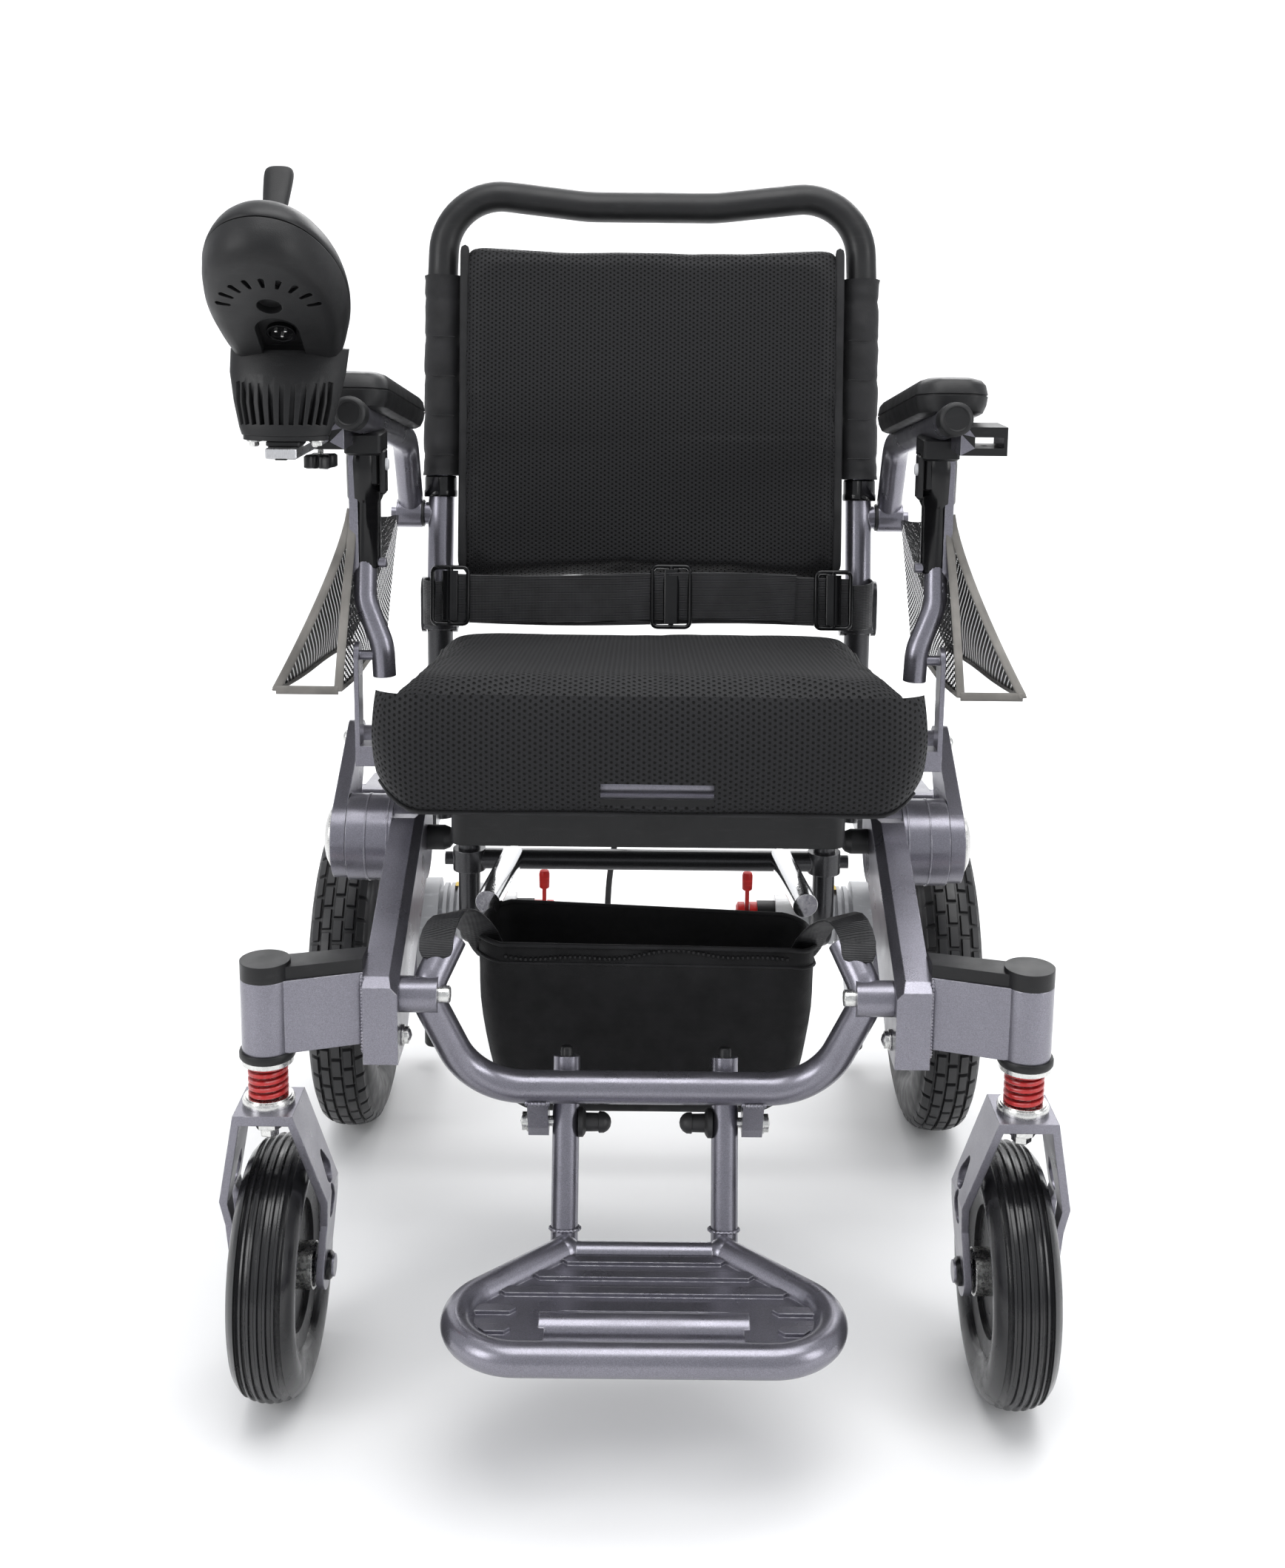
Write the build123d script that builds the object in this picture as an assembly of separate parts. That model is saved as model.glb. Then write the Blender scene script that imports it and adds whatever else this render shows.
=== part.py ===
"""Folding power wheelchair, in millimetres.

The chair faces -Y and stands on z = 0. X runs to the user's left.
Y values below are measured from the line where the front casters touch the
floor; every piece is moved by the same shift when it is written, so that the
origin lies under the middle of the chair.
"""
from build123d import *
import math
import os

# ---- overall layout -------------------------------------------------------
WHEEL_BASE = 453.0
FOOT_REACH = 160.0          # front casters' floor line to the front of the footplate
SIDES = (("left", 1), ("right", -1))
RUN_GAP = 0.05              # radial clearance of a running fit
FREE_GAP = 0.4              # gap between pieces that only pass each other

# ---- front casters --------------------------------------------------------
CASTER_X = 280.0
CASTER_D = 196.0
CASTER_W = 50.0
CASTER_TRAIL = 30.0
CASTER_RIM_D = 122.0
CASTER_HUB_W = 50.0
FORK_GAP = 58.0             # inside width at the axle
FORK_FLARE = 6.0            # extra half width at the bend
FORK_T = 6.0
CROWN_W = 44.0
CROWN_DEPTH = 48.0
CROWN_T = 9.0
CROWN_TOP = 248.0
RING_H = 7.0
RING_D = 34.0
SPRING_D = 30.0
SPRING_WIRE = 4.2
SPRING_TURNS = 4.5
COLLAR_H = 10.0
COLLAR_D = 38.0
COLLAR_Z = 281.0
STEM_D = 16.0
STEM_TRAVEL = 12.0
AXLE_D = 10.0

# ---- caster arms and front legs ------------------------------------------
ARM_Z = COLLAR_Z + COLLAR_H
ARM_H = 56.0
ARM_END_D = 37.0
ARM_PLATE_T = 26.0
CAP_H = 10.0
LEG_IN = 184.0              # inner face of the front leg
LEG_T = 26.0
LEG_BLOCK_Y = -28.0
LEG_BLOCK_Z = 277.0
LEG_BLOCK_H = 66.0

# ---- folding hub ----------------------------------------------------------
HUB_Y = 165.0
HUB_Z = 389.0
HUB_R = 36.0
DRUM_W = 38.0
PLATE_T = 12.0
PLATE_R = 34.0
DOME_R = 26.0
DOME_H = 9.0
HUB_PIN_D = 16.0
HUB_GAP = 0.6
FOLD_ANGLE = 30.0

# ---- footrest -------------------------------------------------------------
U_TUBE_D = 25.0
U_Z = 240.0
U_Y = 15.0
U_HALF = 132.0
U_TUBE_BENDS = [22, 58, 58, 22]
CLAMP_X = 167.0
CLAMP_Z = 324.0
CLAMP_Y = -4.0
CLAMP_D = 27.0
CLAMP_W = 22.0
TAB_X = 83.0
TAB_W = 16.0
PIVOT_Y = 32.0
PIVOT_Z = 203.0
PIVOT_BOLT_D = 8.0
PLATE_LEG_X = 62.0
PLATE_LEG_D = 21.0
PLATE_Z = 119.0
PLATE_SHEET = 3.0
PLATE_TUBE_D = 24.0
PLATE_FRONT_HALF = 212.0    # to the sharp corner, before rounding
PLATE_REAR_HALF = 73.0
PLATE_REAR_Y = -14.0
PLATE_CORNER_R = 45.0
WINDOW_HALF = 71.0
WINDOW_REAR_Y = -93.0
WINDOW_BAR_D = 26.0
RIDGE_W = 9.0
RIDGE_H = 3.0
LONG_RIDGES = ((-30.0, 62.0), (-50.0, 82.0), (-71.0, 106.0))        # y and half length
SHORT_RIDGES = ((-94.0, 110.0, 18.0), (-118.0, 106.0, 11.5))        # y, x and half length

# ---- rear wheels and drive -----------------------------------------------
REAR_D = 318.0
REAR_W = 60.0
REAR_X = 290.0
REAR_RIM_D = 208.0
MOTOR_IN = 150.0
MOTOR_FORWARD = 13.0        # motor bodies hang in front of the axle
MOTOR_UP = 60.0             # and above it
SHAFT_D = 17.0
LEVER_L = 46.0
LEVER_X = 102.0

# ---- rear frame -----------------------------------------------------------
REAR_LEG_X = 238.0
REAR_LEG_T = 20.0
ARCH_X = 163.0
ARCH_Y = 300.0
ARCH_TOP = 398.0
ARCH_D = 20.0
CROSS_Z = 324.0
LOWER_POST_Z = 320.0
TIP_X = 229.0
TIP_Y = 560.0
TIP_Z = 20.0
RAIL_BOLT_Y = 240.0

# ---- seat -----------------------------------------------------------------
SEAT_W = 418.0
SEAT_DEPTH = 416.0
SEAT_FRONT_Z = 559.0
SEAT_TILT = 6.6
CUSHION_T = 64.0
RAIL_D = 25.0
RAIL_X = 186.0
TRAY_HALF = 155.0
TRAY_FRONT = 70.0
TRAY_REAR = 290.0
TRAY_BOTTOM = 414.0

# ---- backrest -------------------------------------------------------------
POST_X = 204.0
POST_D = 25.0
BACK_Y = 441.0
BACK_Z = 548.0
RECLINE = 9.0
HANDLE_Z = 946.0
HANDLE_DIP = 16.0
BACK_PAD_HALF = 186.0
BACK_PAD_T = 34.0
BACK_PAD_FROM = 34.0
BACK_PAD_TO = 340.0
BELT_FROM = 48.0
BELT_TO = 98.0

# ---- armrests -------------------------------------------------------------
ARM_X = 230.0
ARM_TUBE_D = 24.0
ARM_FRONT_Y = 85.0
ARM_FRONT_Z = 750.0
ARM_SLOPE = 9.0
PAD_W = 58.0
PAD_L = 262.0
PAD_T = 30.0
LINK_DY = 14.0              # armrest pivots sit this far behind the lower ones
LINK_DZ = 74.0              # and this far above them
SUPPORT_Y = 150.0
SUPPORT_X = 224.0
SUPPORT_D = 20.0

# ---- controller -----------------------------------------------------------
CONTROL_X = -258.0
CONTROL_Y = -22.0
CONTROL_Z = 838.0
CONTROL_L = 182.0
CONTROL_W = 100.0
CONTROL_H = 52.0
CONTROL_TILT = 36.0
SHELL_T = 2.5
STICK_D = 9.0
KNOB_D = 22.0
RAIL_W = 22.0
RAIL_H = 8.0
STICK_LOCAL_Y = -44.0
BUTTON_SPOT = (0.0, 20.0)

AXLE_Z = CASTER_D / 2
REAR_AXLE_Z = REAR_D / 2
Y_SHIFT = -(WHEEL_BASE + REAR_D / 2 - FOOT_REACH) / 2
STEM_Y = -CASTER_TRAIL
MOTOR_Y = WHEEL_BASE - MOTOR_FORWARD
MOTOR_Z = REAR_AXLE_Z + MOTOR_UP
seat_slope = math.tan(math.radians(SEAT_TILT))
CABLE_LINE = [(-12, TRAY_REAR, 431), (-12, 322, 431), (-18, 352, 404), (-24, 374, 350),
              (-34, 396, 290), (-38, 412, 245), (-38, 412, REAR_AXLE_Z + 50)]
parts = {}


# ---- helpers --------------------------------------------------------------
def rod(p, q, d):
    """Round bar of diameter d between two points."""
    a, b = Vector(*p), Vector(*q)
    return extrude(Plane(origin=a, z_dir=b - a) * Circle(d / 2), (b - a).length)


def pipe(p, q, d, bore):
    """Round tube between two points."""
    a, b = Vector(*p), Vector(*q)
    ring = Circle(d / 2) - Circle(bore / 2)
    return extrude(Plane(origin=a, z_dir=b - a) * ring, (b - a).length)


def bent_tube(points, radii, d, wall=2.0):
    """Tube swept along straight runs joined by arcs."""
    path = FilletPolyline(*points, radius=radii)
    start = path ^ 0
    outer = sweep(start * Circle(d / 2), path=path)
    inner = sweep(start * Circle(d / 2 - wall), path=path)
    return outer - inner


def slab_x(outline, x0, x1):
    """Plate standing in the YZ plane, between two x values."""
    face = make_face(Polyline(*[(0, y, z) for y, z in outline], close=True))
    lo, hi = min(x0, x1), max(x0, x1)
    return Pos(lo, 0, 0) * extrude(face, hi - lo, dir=(1, 0, 0))


def hull_x(circles, x0, x1):
    """Plate in the YZ plane round a chain of circles (y, z, radius)."""
    lo, hi = min(x0, x1), max(x0, x1)
    plane = Plane(origin=(lo, 0, 0), x_dir=(0, 1, 0), z_dir=(1, 0, 0))
    plate = None
    for (y0, z0, r0), (y1, z1, r1) in zip(circles, circles[1:]):
        pair = [Pos(y0, z0) * Circle(r0), Pos(y1, z1) * Circle(r1)]
        span = make_hull([e for c in pair for e in c.edges()])
        span = extrude(plane * span, hi - lo)
        plate = span if plate is None else plate + span
    return plate


def box_at(x0, x1, y0, y1, z0, z1):
    """Box between two corners."""
    x0, x1 = min(x0, x1), max(x0, x1)
    size = (x1 - x0, y1 - y0, z1 - z0)
    return Pos((x0 + x1) / 2, (y0 + y1) / 2, (z0 + z1) / 2) * Box(*size)


def turned(profile, centre):
    """Solid turned about an axis along X; profile is (x, radius) from centre."""
    face = make_face(Polyline(*[(x, r) for x, r in profile], close=True))
    solid = revolve(face, Axis.X)
    return Pos(*centre) * solid


def seat_top(y):
    """Height of the cushion's upper face."""
    return SEAT_FRONT_Z - seat_slope * y


def along_back(length, forward=0.0):
    """Point on the reclined backrest plane, forward of the posts' centre."""
    a = math.radians(RECLINE)
    y = BACK_Y + length * math.sin(a) - forward * math.cos(a)
    z = BACK_Z + length * math.cos(a) + forward * math.sin(a)
    return y, z


# ---- casters --------------------------------------------------------------
def caster_fork(s):
    """Bent fork: crown plate with two cut-out legs down to the axle."""
    x = s * CASTER_X
    half = FORK_GAP / 2
    bend_z = AXLE_Z + 66
    outer = [(-CROWN_W / 2, CROWN_TOP), (CROWN_W / 2, CROWN_TOP),
             (half + FORK_FLARE + FORK_T, bend_z), (half + FORK_T, AXLE_Z),
             (half + FORK_T, AXLE_Z - 24), (half, AXLE_Z - 24), (half, AXLE_Z),
             (half + FORK_FLARE, bend_z - 2), (CROWN_W / 2 - 4, CROWN_TOP - CROWN_T),
             (-CROWN_W / 2 + 4, CROWN_TOP - CROWN_T), (-half - FORK_FLARE, bend_z - 2),
             (-half, AXLE_Z), (-half, AXLE_Z - 24), (-half - FORK_T, AXLE_Z - 24),
             (-half - FORK_T, AXLE_Z), (-half - FORK_FLARE - FORK_T, bend_z)]
    front = make_face(Polyline(*[(a, 0, b) for a, b in outer], close=True))
    bent = Pos(x, STEM_Y - 60, 0) * extrude(front, 140, dir=(0, 1, 0))
    fore, aft = STEM_Y - CROWN_DEPTH / 2, STEM_Y + CROWN_DEPTH / 2
    side = hull_x([(0, AXLE_Z, 18), (4, bend_z - 22, 21)], x - 60, x + 60)
    side += slab_x([(fore, CROWN_TOP), (aft, CROWN_TOP), (25, bend_z - 16),
                    (-17, bend_z - 24)], x - 60, x + 60)
    fork = bent & side
    for y, z, r in ((-2, bend_z + 14, 9), (2, bend_z - 16, 10)):
        fork -= hull_x([(y, z, r), (y - 6, z + 17, 3.5)], x - 60, x + 60)
    fork -= rod((x - 60, 0, AXLE_Z), (x + 60, 0, AXLE_Z), AXLE_D)
    fork -= rod((x, STEM_Y, CROWN_TOP - 20), (x, STEM_Y, CROWN_TOP + 1), STEM_D + 2 * RUN_GAP)
    return fork


def caster_stem(s):
    """Stem with its seat ring, bottom nut and shaft."""
    x = s * CASTER_X
    top = ARM_Z + ARM_H - STEM_TRAVEL - 6
    stem = rod((x, STEM_Y, CROWN_TOP - CROWN_T - 6), (x, STEM_Y, top), STEM_D)
    stem += rod((x, STEM_Y, CROWN_TOP + FREE_GAP), (x, STEM_Y, CROWN_TOP + RING_H), RING_D)
    nut = Pos(x, STEM_Y, CROWN_TOP - CROWN_T - 8.5) * extrude(RegularPolygon(12, 6), 8)
    return stem + nut


def caster_spring(s):
    """Compression spring between the collar and the stem's ring."""
    z0 = CROWN_TOP + RING_H
    length = COLLAR_Z - z0 - SPRING_WIRE
    pitch = length / SPRING_TURNS
    path = Helix(pitch, length, (SPRING_D - SPRING_WIRE) / 2)
    coil = sweep((path ^ 0) * Circle(SPRING_WIRE / 2), path=path, is_frenet=True)
    return Pos(s * CASTER_X, STEM_Y, z0 + SPRING_WIRE / 2) * coil


def tyre(x, y, z, d, w, rim_d):
    """Pneumatic tyre with a rounded tread, hollow inside."""
    r, seat, h = d / 2, rim_d / 2, w / 2
    tread = Spline((-h, r - 0.55 * (r - seat)), (-h * 0.62, r - 0.12 * h),
                   (0, r), (h * 0.62, r - 0.12 * h), (h, r - 0.55 * (r - seat)))
    bead = Polyline((h, r - 0.55 * (r - seat)), (h * 0.72, seat), (-h * 0.72, seat),
                    (-h, r - 0.55 * (r - seat)))
    body = revolve(make_face([tread, bead]), Axis.X)
    return Pos(x, y, z) * body


def wheel_rim(x, y, z, rim_d, w, hub_w, bore):
    """Moulded rim: tyre seat, thick web and hub boss in one turned piece."""
    r, h, hub = rim_d / 2, w / 2, hub_w / 2
    half = [(hub, bore / 2), (hub, bore / 2 + 12), (h * 0.6 - 4, bore / 2 + 12),
            (h * 0.6 - 4, r - 12), (h * 0.6, r - 12), (h * 0.7, r)]
    return turned([(-a, b) for a, b in half] + [(a, b) for a, b in reversed(half)], (x, y, z))


def caster_axle(s):
    """Axle bolt with its heads outside the fork's legs."""
    x = s * CASTER_X
    half = FORK_GAP / 2 + FORK_T
    bolt = rod((x - half - 6, 0, AXLE_Z), (x + half + 6, 0, AXLE_Z), AXLE_D)
    for side in (-1, 1):
        bolt += rod((x + side * half, 0, AXLE_Z), (x + side * (half + 6), 0, AXLE_Z), 17)
    return bolt


# ---- front frame ----------------------------------------------------------
def caster_arm(s):
    """Flat arm from the leg out to the caster's stem barrel."""
    x0, x1 = s * (LEG_IN + LEG_T), s * CASTER_X
    y0 = -9.0
    web = make_face(Polyline((x0, y0 - ARM_PLATE_T / 2), (x0, y0 + ARM_PLATE_T / 2),
                             (x1, STEM_Y + ARM_END_D / 2 - 3), (x1, STEM_Y - ARM_END_D / 2 + 3),
                             close=True))
    arm = Pos(0, 0, ARM_Z) * extrude(web, ARM_H, dir=(0, 0, 1))
    arm += rod((x1, STEM_Y, ARM_Z), (x1, STEM_Y, ARM_Z + ARM_H), ARM_END_D)
    arm -= rod((x1, STEM_Y, ARM_Z - 1), (x1, STEM_Y, ARM_Z + ARM_H - 3), STEM_D + 2 * RUN_GAP)
    return arm


def caster_cap(s):
    """Plastic cap on top of the caster arm."""
    x0, x1 = s * (LEG_IN + LEG_T), s * CASTER_X
    y0, z0 = -9.0, ARM_Z + ARM_H
    web = make_face(Polyline((x0, y0 - ARM_PLATE_T / 2 + 1), (x0, y0 + ARM_PLATE_T / 2 - 1),
                             (x1, STEM_Y + ARM_END_D / 2 - 5), (x1, STEM_Y - ARM_END_D / 2 + 5),
                             close=True))
    cap = Pos(0, 0, z0) * extrude(web, CAP_H, dir=(0, 0, 1))
    cap += rod((x1, STEM_Y, z0), (x1, STEM_Y, z0 + CAP_H + 3), ARM_END_D)
    return cap


def front_leg(s):
    """Cast leg from the caster arm up to the folding hub, with the hub drum."""
    x0, x1 = s * LEG_IN, s * (LEG_IN + LEG_T)
    top = LEG_BLOCK_Z + LEG_BLOCK_H
    outline = [(LEG_BLOCK_Y, LEG_BLOCK_Z), (LEG_BLOCK_Y, top - 6), (LEG_BLOCK_Y + 8, top),
               (HUB_Y - 30, HUB_Z + 26), (HUB_Y + 10, HUB_Z + 30), (HUB_Y + 22, HUB_Z),
               (HUB_Y + 5, HUB_Z - 30), (30, LEG_BLOCK_Z + 8), (18, LEG_BLOCK_Z)]
    leg = slab_x(outline, x0, x1)
    leg += rod((x0, HUB_Y, HUB_Z), (x1, HUB_Y, HUB_Z), 2 * HUB_R - 4)
    bevel = [e for e in leg.edges().filter_by(GeomType.LINE) if abs(e.center().X - x0) < 0.1]
    bevel = [e for e in bevel if e.length > 60]
    leg = chamfer(bevel, 7) if bevel else leg
    leg += rod((x1, HUB_Y, HUB_Z), (x1 + s * DRUM_W, HUB_Y, HUB_Z), 2 * HUB_R)
    x_end = x1 + s * (DRUM_W + 1)
    leg -= rod((x0 + s * 8, HUB_Y, HUB_Z), (x_end, HUB_Y, HUB_Z), HUB_PIN_D + 2 * RUN_GAP)
    for z in bolt_heights():
        leg -= rod((x0 - s, CLAMP_Y, z), (x0 + s * 18, CLAMP_Y, z), 8)
    return leg


def bolt_heights():
    """Heights of the two bolts through the leg's block."""
    return CLAMP_Z, CLAMP_Z - 34


def u_tube_line():
    """Corner points of the footrest's U tube."""
    left = [(U_HALF, U_Y, U_Z), (CLAMP_X, CLAMP_Y, CLAMP_Z), (150, 24, 356)]
    return [(-x, y, z) for x, y, z in reversed(left)] + left


def u_tube_solid():
    """Solid outline of the footrest's U tube."""
    path = FilletPolyline(*u_tube_line(), radius=U_TUBE_BENDS)
    return sweep((path ^ 0) * Circle(U_TUBE_D / 2), path=path)


def footrest_tube():
    """U-shaped tube that carries the footplate, with two hanging tabs."""
    tube = bent_tube(u_tube_line(), U_TUBE_BENDS, U_TUBE_D)
    for s in (-1, 1):
        x0, x1 = s * TAB_X - TAB_W / 2, s * TAB_X + TAB_W / 2
        tab = slab_x([(U_Y - 7, U_Z - 10), (U_Y + 11, U_Z - 8), (PIVOT_Y + 10, PIVOT_Z),
                      (PIVOT_Y + 6, PIVOT_Z - 8), (PIVOT_Y - 6, PIVOT_Z - 9),
                      (PIVOT_Y - 12, PIVOT_Z)], x0, x1)
        hole = rod((x0 - 1, PIVOT_Y, PIVOT_Z), (x1 + 1, PIVOT_Y, PIVOT_Z), PIVOT_BOLT_D)
        core = rod((x0 - 1, U_Y, U_Z), (x1 + 1, U_Y, U_Z), U_TUBE_D - 4)
        tube += tab - hole - core
    return tube


def footrest_clamps():
    """Round clamps that hold the U tube on the legs."""
    group = []
    for s in (-1, 1):
        x0, x1 = s * (CLAMP_X - CLAMP_W / 2), s * (LEG_IN)
        clamp = rod((x0, CLAMP_Y - 3, CLAMP_Z), (x1, CLAMP_Y - 3, CLAMP_Z), CLAMP_D)
        group.append(clamp)
    return group


def frame_bolts():
    """Zinc bolts of the front frame."""
    group = []
    for s in (-1, 1):
        for z in bolt_heights():
            x0 = s * LEG_IN
            bolt = rod((x0, CLAMP_Y, z), (x0 + s * 17, CLAMP_Y, z), 8)
            if z != CLAMP_Z:
                bolt += rod((x0, CLAMP_Y, z), (x0 - s * 5, CLAMP_Y, z), 13)
            group.append(bolt)
        x0 = s * (CLAMP_X - CLAMP_W / 2)
        group.append(rod((x0, CLAMP_Y - 3, CLAMP_Z), (x0 - s * 8, CLAMP_Y - 3, CLAMP_Z), 13))
        lo, hi = TAB_X - TAB_W / 2, TAB_X + TAB_W / 2
        pin = rod((s * (hi + 5), PIVOT_Y, PIVOT_Z), (s * (PLATE_LEG_X - 4), PIVOT_Y, PIVOT_Z),
                  PIVOT_BOLT_D)
        pin += rod((s * hi, PIVOT_Y, PIVOT_Z), (s * (hi + 5), PIVOT_Y, PIVOT_Z), 14)
        group.append(pin)
    return group


def frame_bumpers():
    """Rubber domes on the inner sides of the front legs."""
    group = []
    for s in (-1, 1):
        x0 = s * LEG_IN
        group.append(turned([(0, 0), (0, 10.5), (-s * 14, 10.5), (-s * 19, 8.5),
                             (-s * 22, 4.5), (-s * 23, 0)], (x0, HUB_Y, HUB_Z)))
    return group


def storage_bag():
    """Soft bag behind the U tube: a wide front and a narrower back."""
    front = box_at(-138, 138, 100, 136, 166, 326)
    back = slab_x([(134, 166), (134, 322), (218, 290), (218, 176)], -111, 111)
    return fillet((front + back).edges().filter_by(Axis.Z), 4)


# ---- footplate ------------------------------------------------------------
def ridge(x, y, half):
    """Pressed ridge with pointed ends on the footplate's sheet."""
    w = RIDGE_W / 2
    outline = [(-half, 0), (w - half, -w), (half - w, -w), (half, 0), (half - w, w), (w - half, w)]
    face = make_face(Polyline(*outline, close=True))
    return Pos(x, y, PLATE_Z) * extrude(face, PLATE_SHEET / 2 + RIDGE_H, dir=(0, 0, 1))


def footplate():
    """Trapezoid sheet with ridges and a window, in a thick rounded tube."""
    y_front = -FOOT_REACH + PLATE_TUBE_D / 2
    half_f = PLATE_FRONT_HALF - PLATE_TUBE_D / 2
    half_r = PLATE_REAR_HALF - PLATE_TUBE_D / 2
    y, z = PLATE_REAR_Y, PLATE_Z
    corners = [(half_r, y, z), (half_f, y_front, z), (-half_f, y_front, z), (-half_r, y, z)]
    path = FilletPolyline(*corners, radius=[PLATE_CORNER_R, PLATE_CORNER_R])
    rim = sweep((path ^ 0) * Circle(PLATE_TUBE_D / 2), path=path)
    rim += rod((half_r, y, z), (-half_r, y, z), PLATE_TUBE_D * 0.7)
    flat = make_face(Polyline(*corners, close=True))
    flat = fillet(flat.vertices().filter_by(lambda v: v.Y < y_front + 20), PLATE_CORNER_R)
    sheet = Pos(0, 0, -PLATE_SHEET / 2) * extrude(flat, PLATE_SHEET, dir=(0, 0, 1))
    window = box_at(-WINDOW_HALF, WINDOW_HALF, y_front, WINDOW_REAR_Y, z - 9, z + 9)
    sheet -= fillet(window.edges().filter_by(Axis.Z).group_by(Axis.Y)[-1], 14)
    for x in (-1, 1):
        rim += Pos(x * half_r, y, z) * Sphere(PLATE_TUBE_D / 2 + 0.5)
    bar_y = WINDOW_REAR_Y - WINDOW_BAR_D / 2 + 2
    bar_z = z + 6 - WINDOW_BAR_D / 2
    bar = rod((-WINDOW_HALF - 4, bar_y, bar_z), (WINDOW_HALF + 4, bar_y, bar_z), WINDOW_BAR_D)
    plate = rim + sheet + bar
    for ridge_y, half in LONG_RIDGES:
        plate += ridge(0, ridge_y, half)
    for ridge_y, x, half in SHORT_RIDGES:
        plate += ridge(x, ridge_y, half) + ridge(-x, ridge_y, half)
    for s in (-1, 1):
        plate -= plate_leg(s)
    return plate


def plate_leg(s):
    """Solid outline of one footplate leg."""
    lean = math.atan2(PIVOT_Y - 5, PIVOT_Z - PLATE_Z)
    dy, dz = math.sin(lean), math.cos(lean)
    x = s * PLATE_LEG_X
    return rod((x, 5 - 11 * dy, PLATE_Z - 11 * dz), (x, PIVOT_Y + 50 * dy, PIVOT_Z + 50 * dz),
               PLATE_LEG_D)


def footplate_legs():
    """Two tubes from the plate up past their pivot bolts, with stop pads."""
    group = []
    for s in (-1, 1):
        x = s * PLATE_LEG_X
        bore = rod((x + 14, PIVOT_Y, PIVOT_Z), (x - 14, PIVOT_Y, PIVOT_Z),
                   PIVOT_BOLT_D + 2 * RUN_GAP)
        group.append(plate_leg(s) - bore)
    return group


# ---- rear wheels and drive ------------------------------------------------
def gear_motor(s):
    """Gearbox on the axle with the ribbed motor, its brake and end cap above it."""
    y, z = WHEEL_BASE, REAR_AXLE_Z
    my, mz = MOTOR_Y, MOTOR_Z
    leg_face = REAR_LEG_X - REAR_LEG_T / 2
    body = hull_x([(y, z, 36), (my, mz, 34)], s * (leg_face - 22), s * leg_face)
    ribs = [(leg_face - 22, 0), (leg_face - 22, 25)]
    for k in range(6):
        x0 = leg_face - 26 - 7 * k
        ribs += [(x0, 25), (x0, 29), (x0 - 4, 29), (x0 - 4, 25)]
    ribs += [(MOTOR_IN, 25), (MOTOR_IN, 20), (130, 20), (130, 14), (112, 14), (112, 12.5),
             (93, 12.5), (91, 9), (91, 0)]
    body += turned([(s * x, r) for x, r in ribs], (0, my, mz))
    body -= rod((s * (leg_face - 14), y, z), (s * (leg_face + 1), y, z), SHAFT_D + 2 * RUN_GAP)
    slot = box_at(s * (LEVER_X - 2.6), s * (LEVER_X + 2.6), my - 14, my + 14, mz + 0.5,
                  mz + 14)
    return body - slot


def clutch_lever(s):
    """Upright release lever in the motor's end cap."""
    my, mz = MOTOR_Y, MOTOR_Z
    x0, x1 = s * (LEVER_X - 2), s * (LEVER_X + 2)
    return hull_x([(my, mz + 6, 3.4), (my, mz + LEVER_L - 6, 3.0)], x0, x1)


def rear_rim(s):
    """Drive wheel rim with its output shaft."""
    x = s * REAR_X
    rim = wheel_rim(x, WHEEL_BASE, REAR_AXLE_Z, REAR_RIM_D, REAR_W, REAR_W - 6, 6)
    leg_face = REAR_LEG_X - REAR_LEG_T / 2
    rim += rod((s * (leg_face - 13), WHEEL_BASE, REAR_AXLE_Z), (x, WHEEL_BASE, REAR_AXLE_Z),
               SHAFT_D)
    rim += rod((x, WHEEL_BASE, REAR_AXLE_Z), (x + s * 29, WHEEL_BASE, REAR_AXLE_Z), 20)
    return rim


# ---- rear frame -----------------------------------------------------------
def plate_faces(s):
    """Inner and outer face of the outer hub plate."""
    inner = LEG_IN + LEG_T + DRUM_W + HUB_GAP
    return s * inner, s * (inner + PLATE_T)


def rail_height(y):
    """Centre height of the seat rails."""
    return seat_top(y) - CUSHION_T - RAIL_D / 2 - FREE_GAP


def rear_leg(s):
    """Cast rear leg: outer hub plate, curved leg to the axle and anti-tip arm."""
    inner, outer = plate_faces(s)
    plate = hull_x([(HUB_Y, HUB_Z, PLATE_R), (RAIL_BOLT_Y, rail_height(RAIL_BOLT_Y), 15)],
                   inner, outer)
    plate += hull_x([(HUB_Y + 20, HUB_Z, 16), (HUB_Y + 80, HUB_Z + 8, 13)], inner, outer)
    x0 = s * (REAR_LEG_X - REAR_LEG_T / 2)
    x1 = inner + s * 0.5
    chain = [(HUB_Y + 66, HUB_Z + 8, 14), (HUB_Y + 135, HUB_Z + 2, 13),
             (WHEEL_BASE - 62, REAR_AXLE_Z + 165, 15), (WHEEL_BASE - 14, REAR_AXLE_Z + 70, 17),
             (WHEEL_BASE, REAR_AXLE_Z, 27)]
    leg = plate + hull_x(chain, x0, x1)
    heel = (s * REAR_LEG_X, WHEEL_BASE + 6, REAR_AXLE_Z - 10)
    leg += rod(heel, (s * TIP_X, TIP_Y, TIP_Z + 34), 14)
    leg -= rod((inner - s, HUB_Y, HUB_Z), (outer + s, HUB_Y, HUB_Z), HUB_PIN_D)
    leg -= rod((x0 - s, WHEEL_BASE, REAR_AXLE_Z), (x1 + s * 2, WHEEL_BASE, REAR_AXLE_Z),
               SHAFT_D + 2 * RUN_GAP)
    leg -= rod((s * TIP_X, TIP_Y, TIP_Z - 1), (s * TIP_X, TIP_Y, TIP_Z + 36), 21)
    return leg


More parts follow.
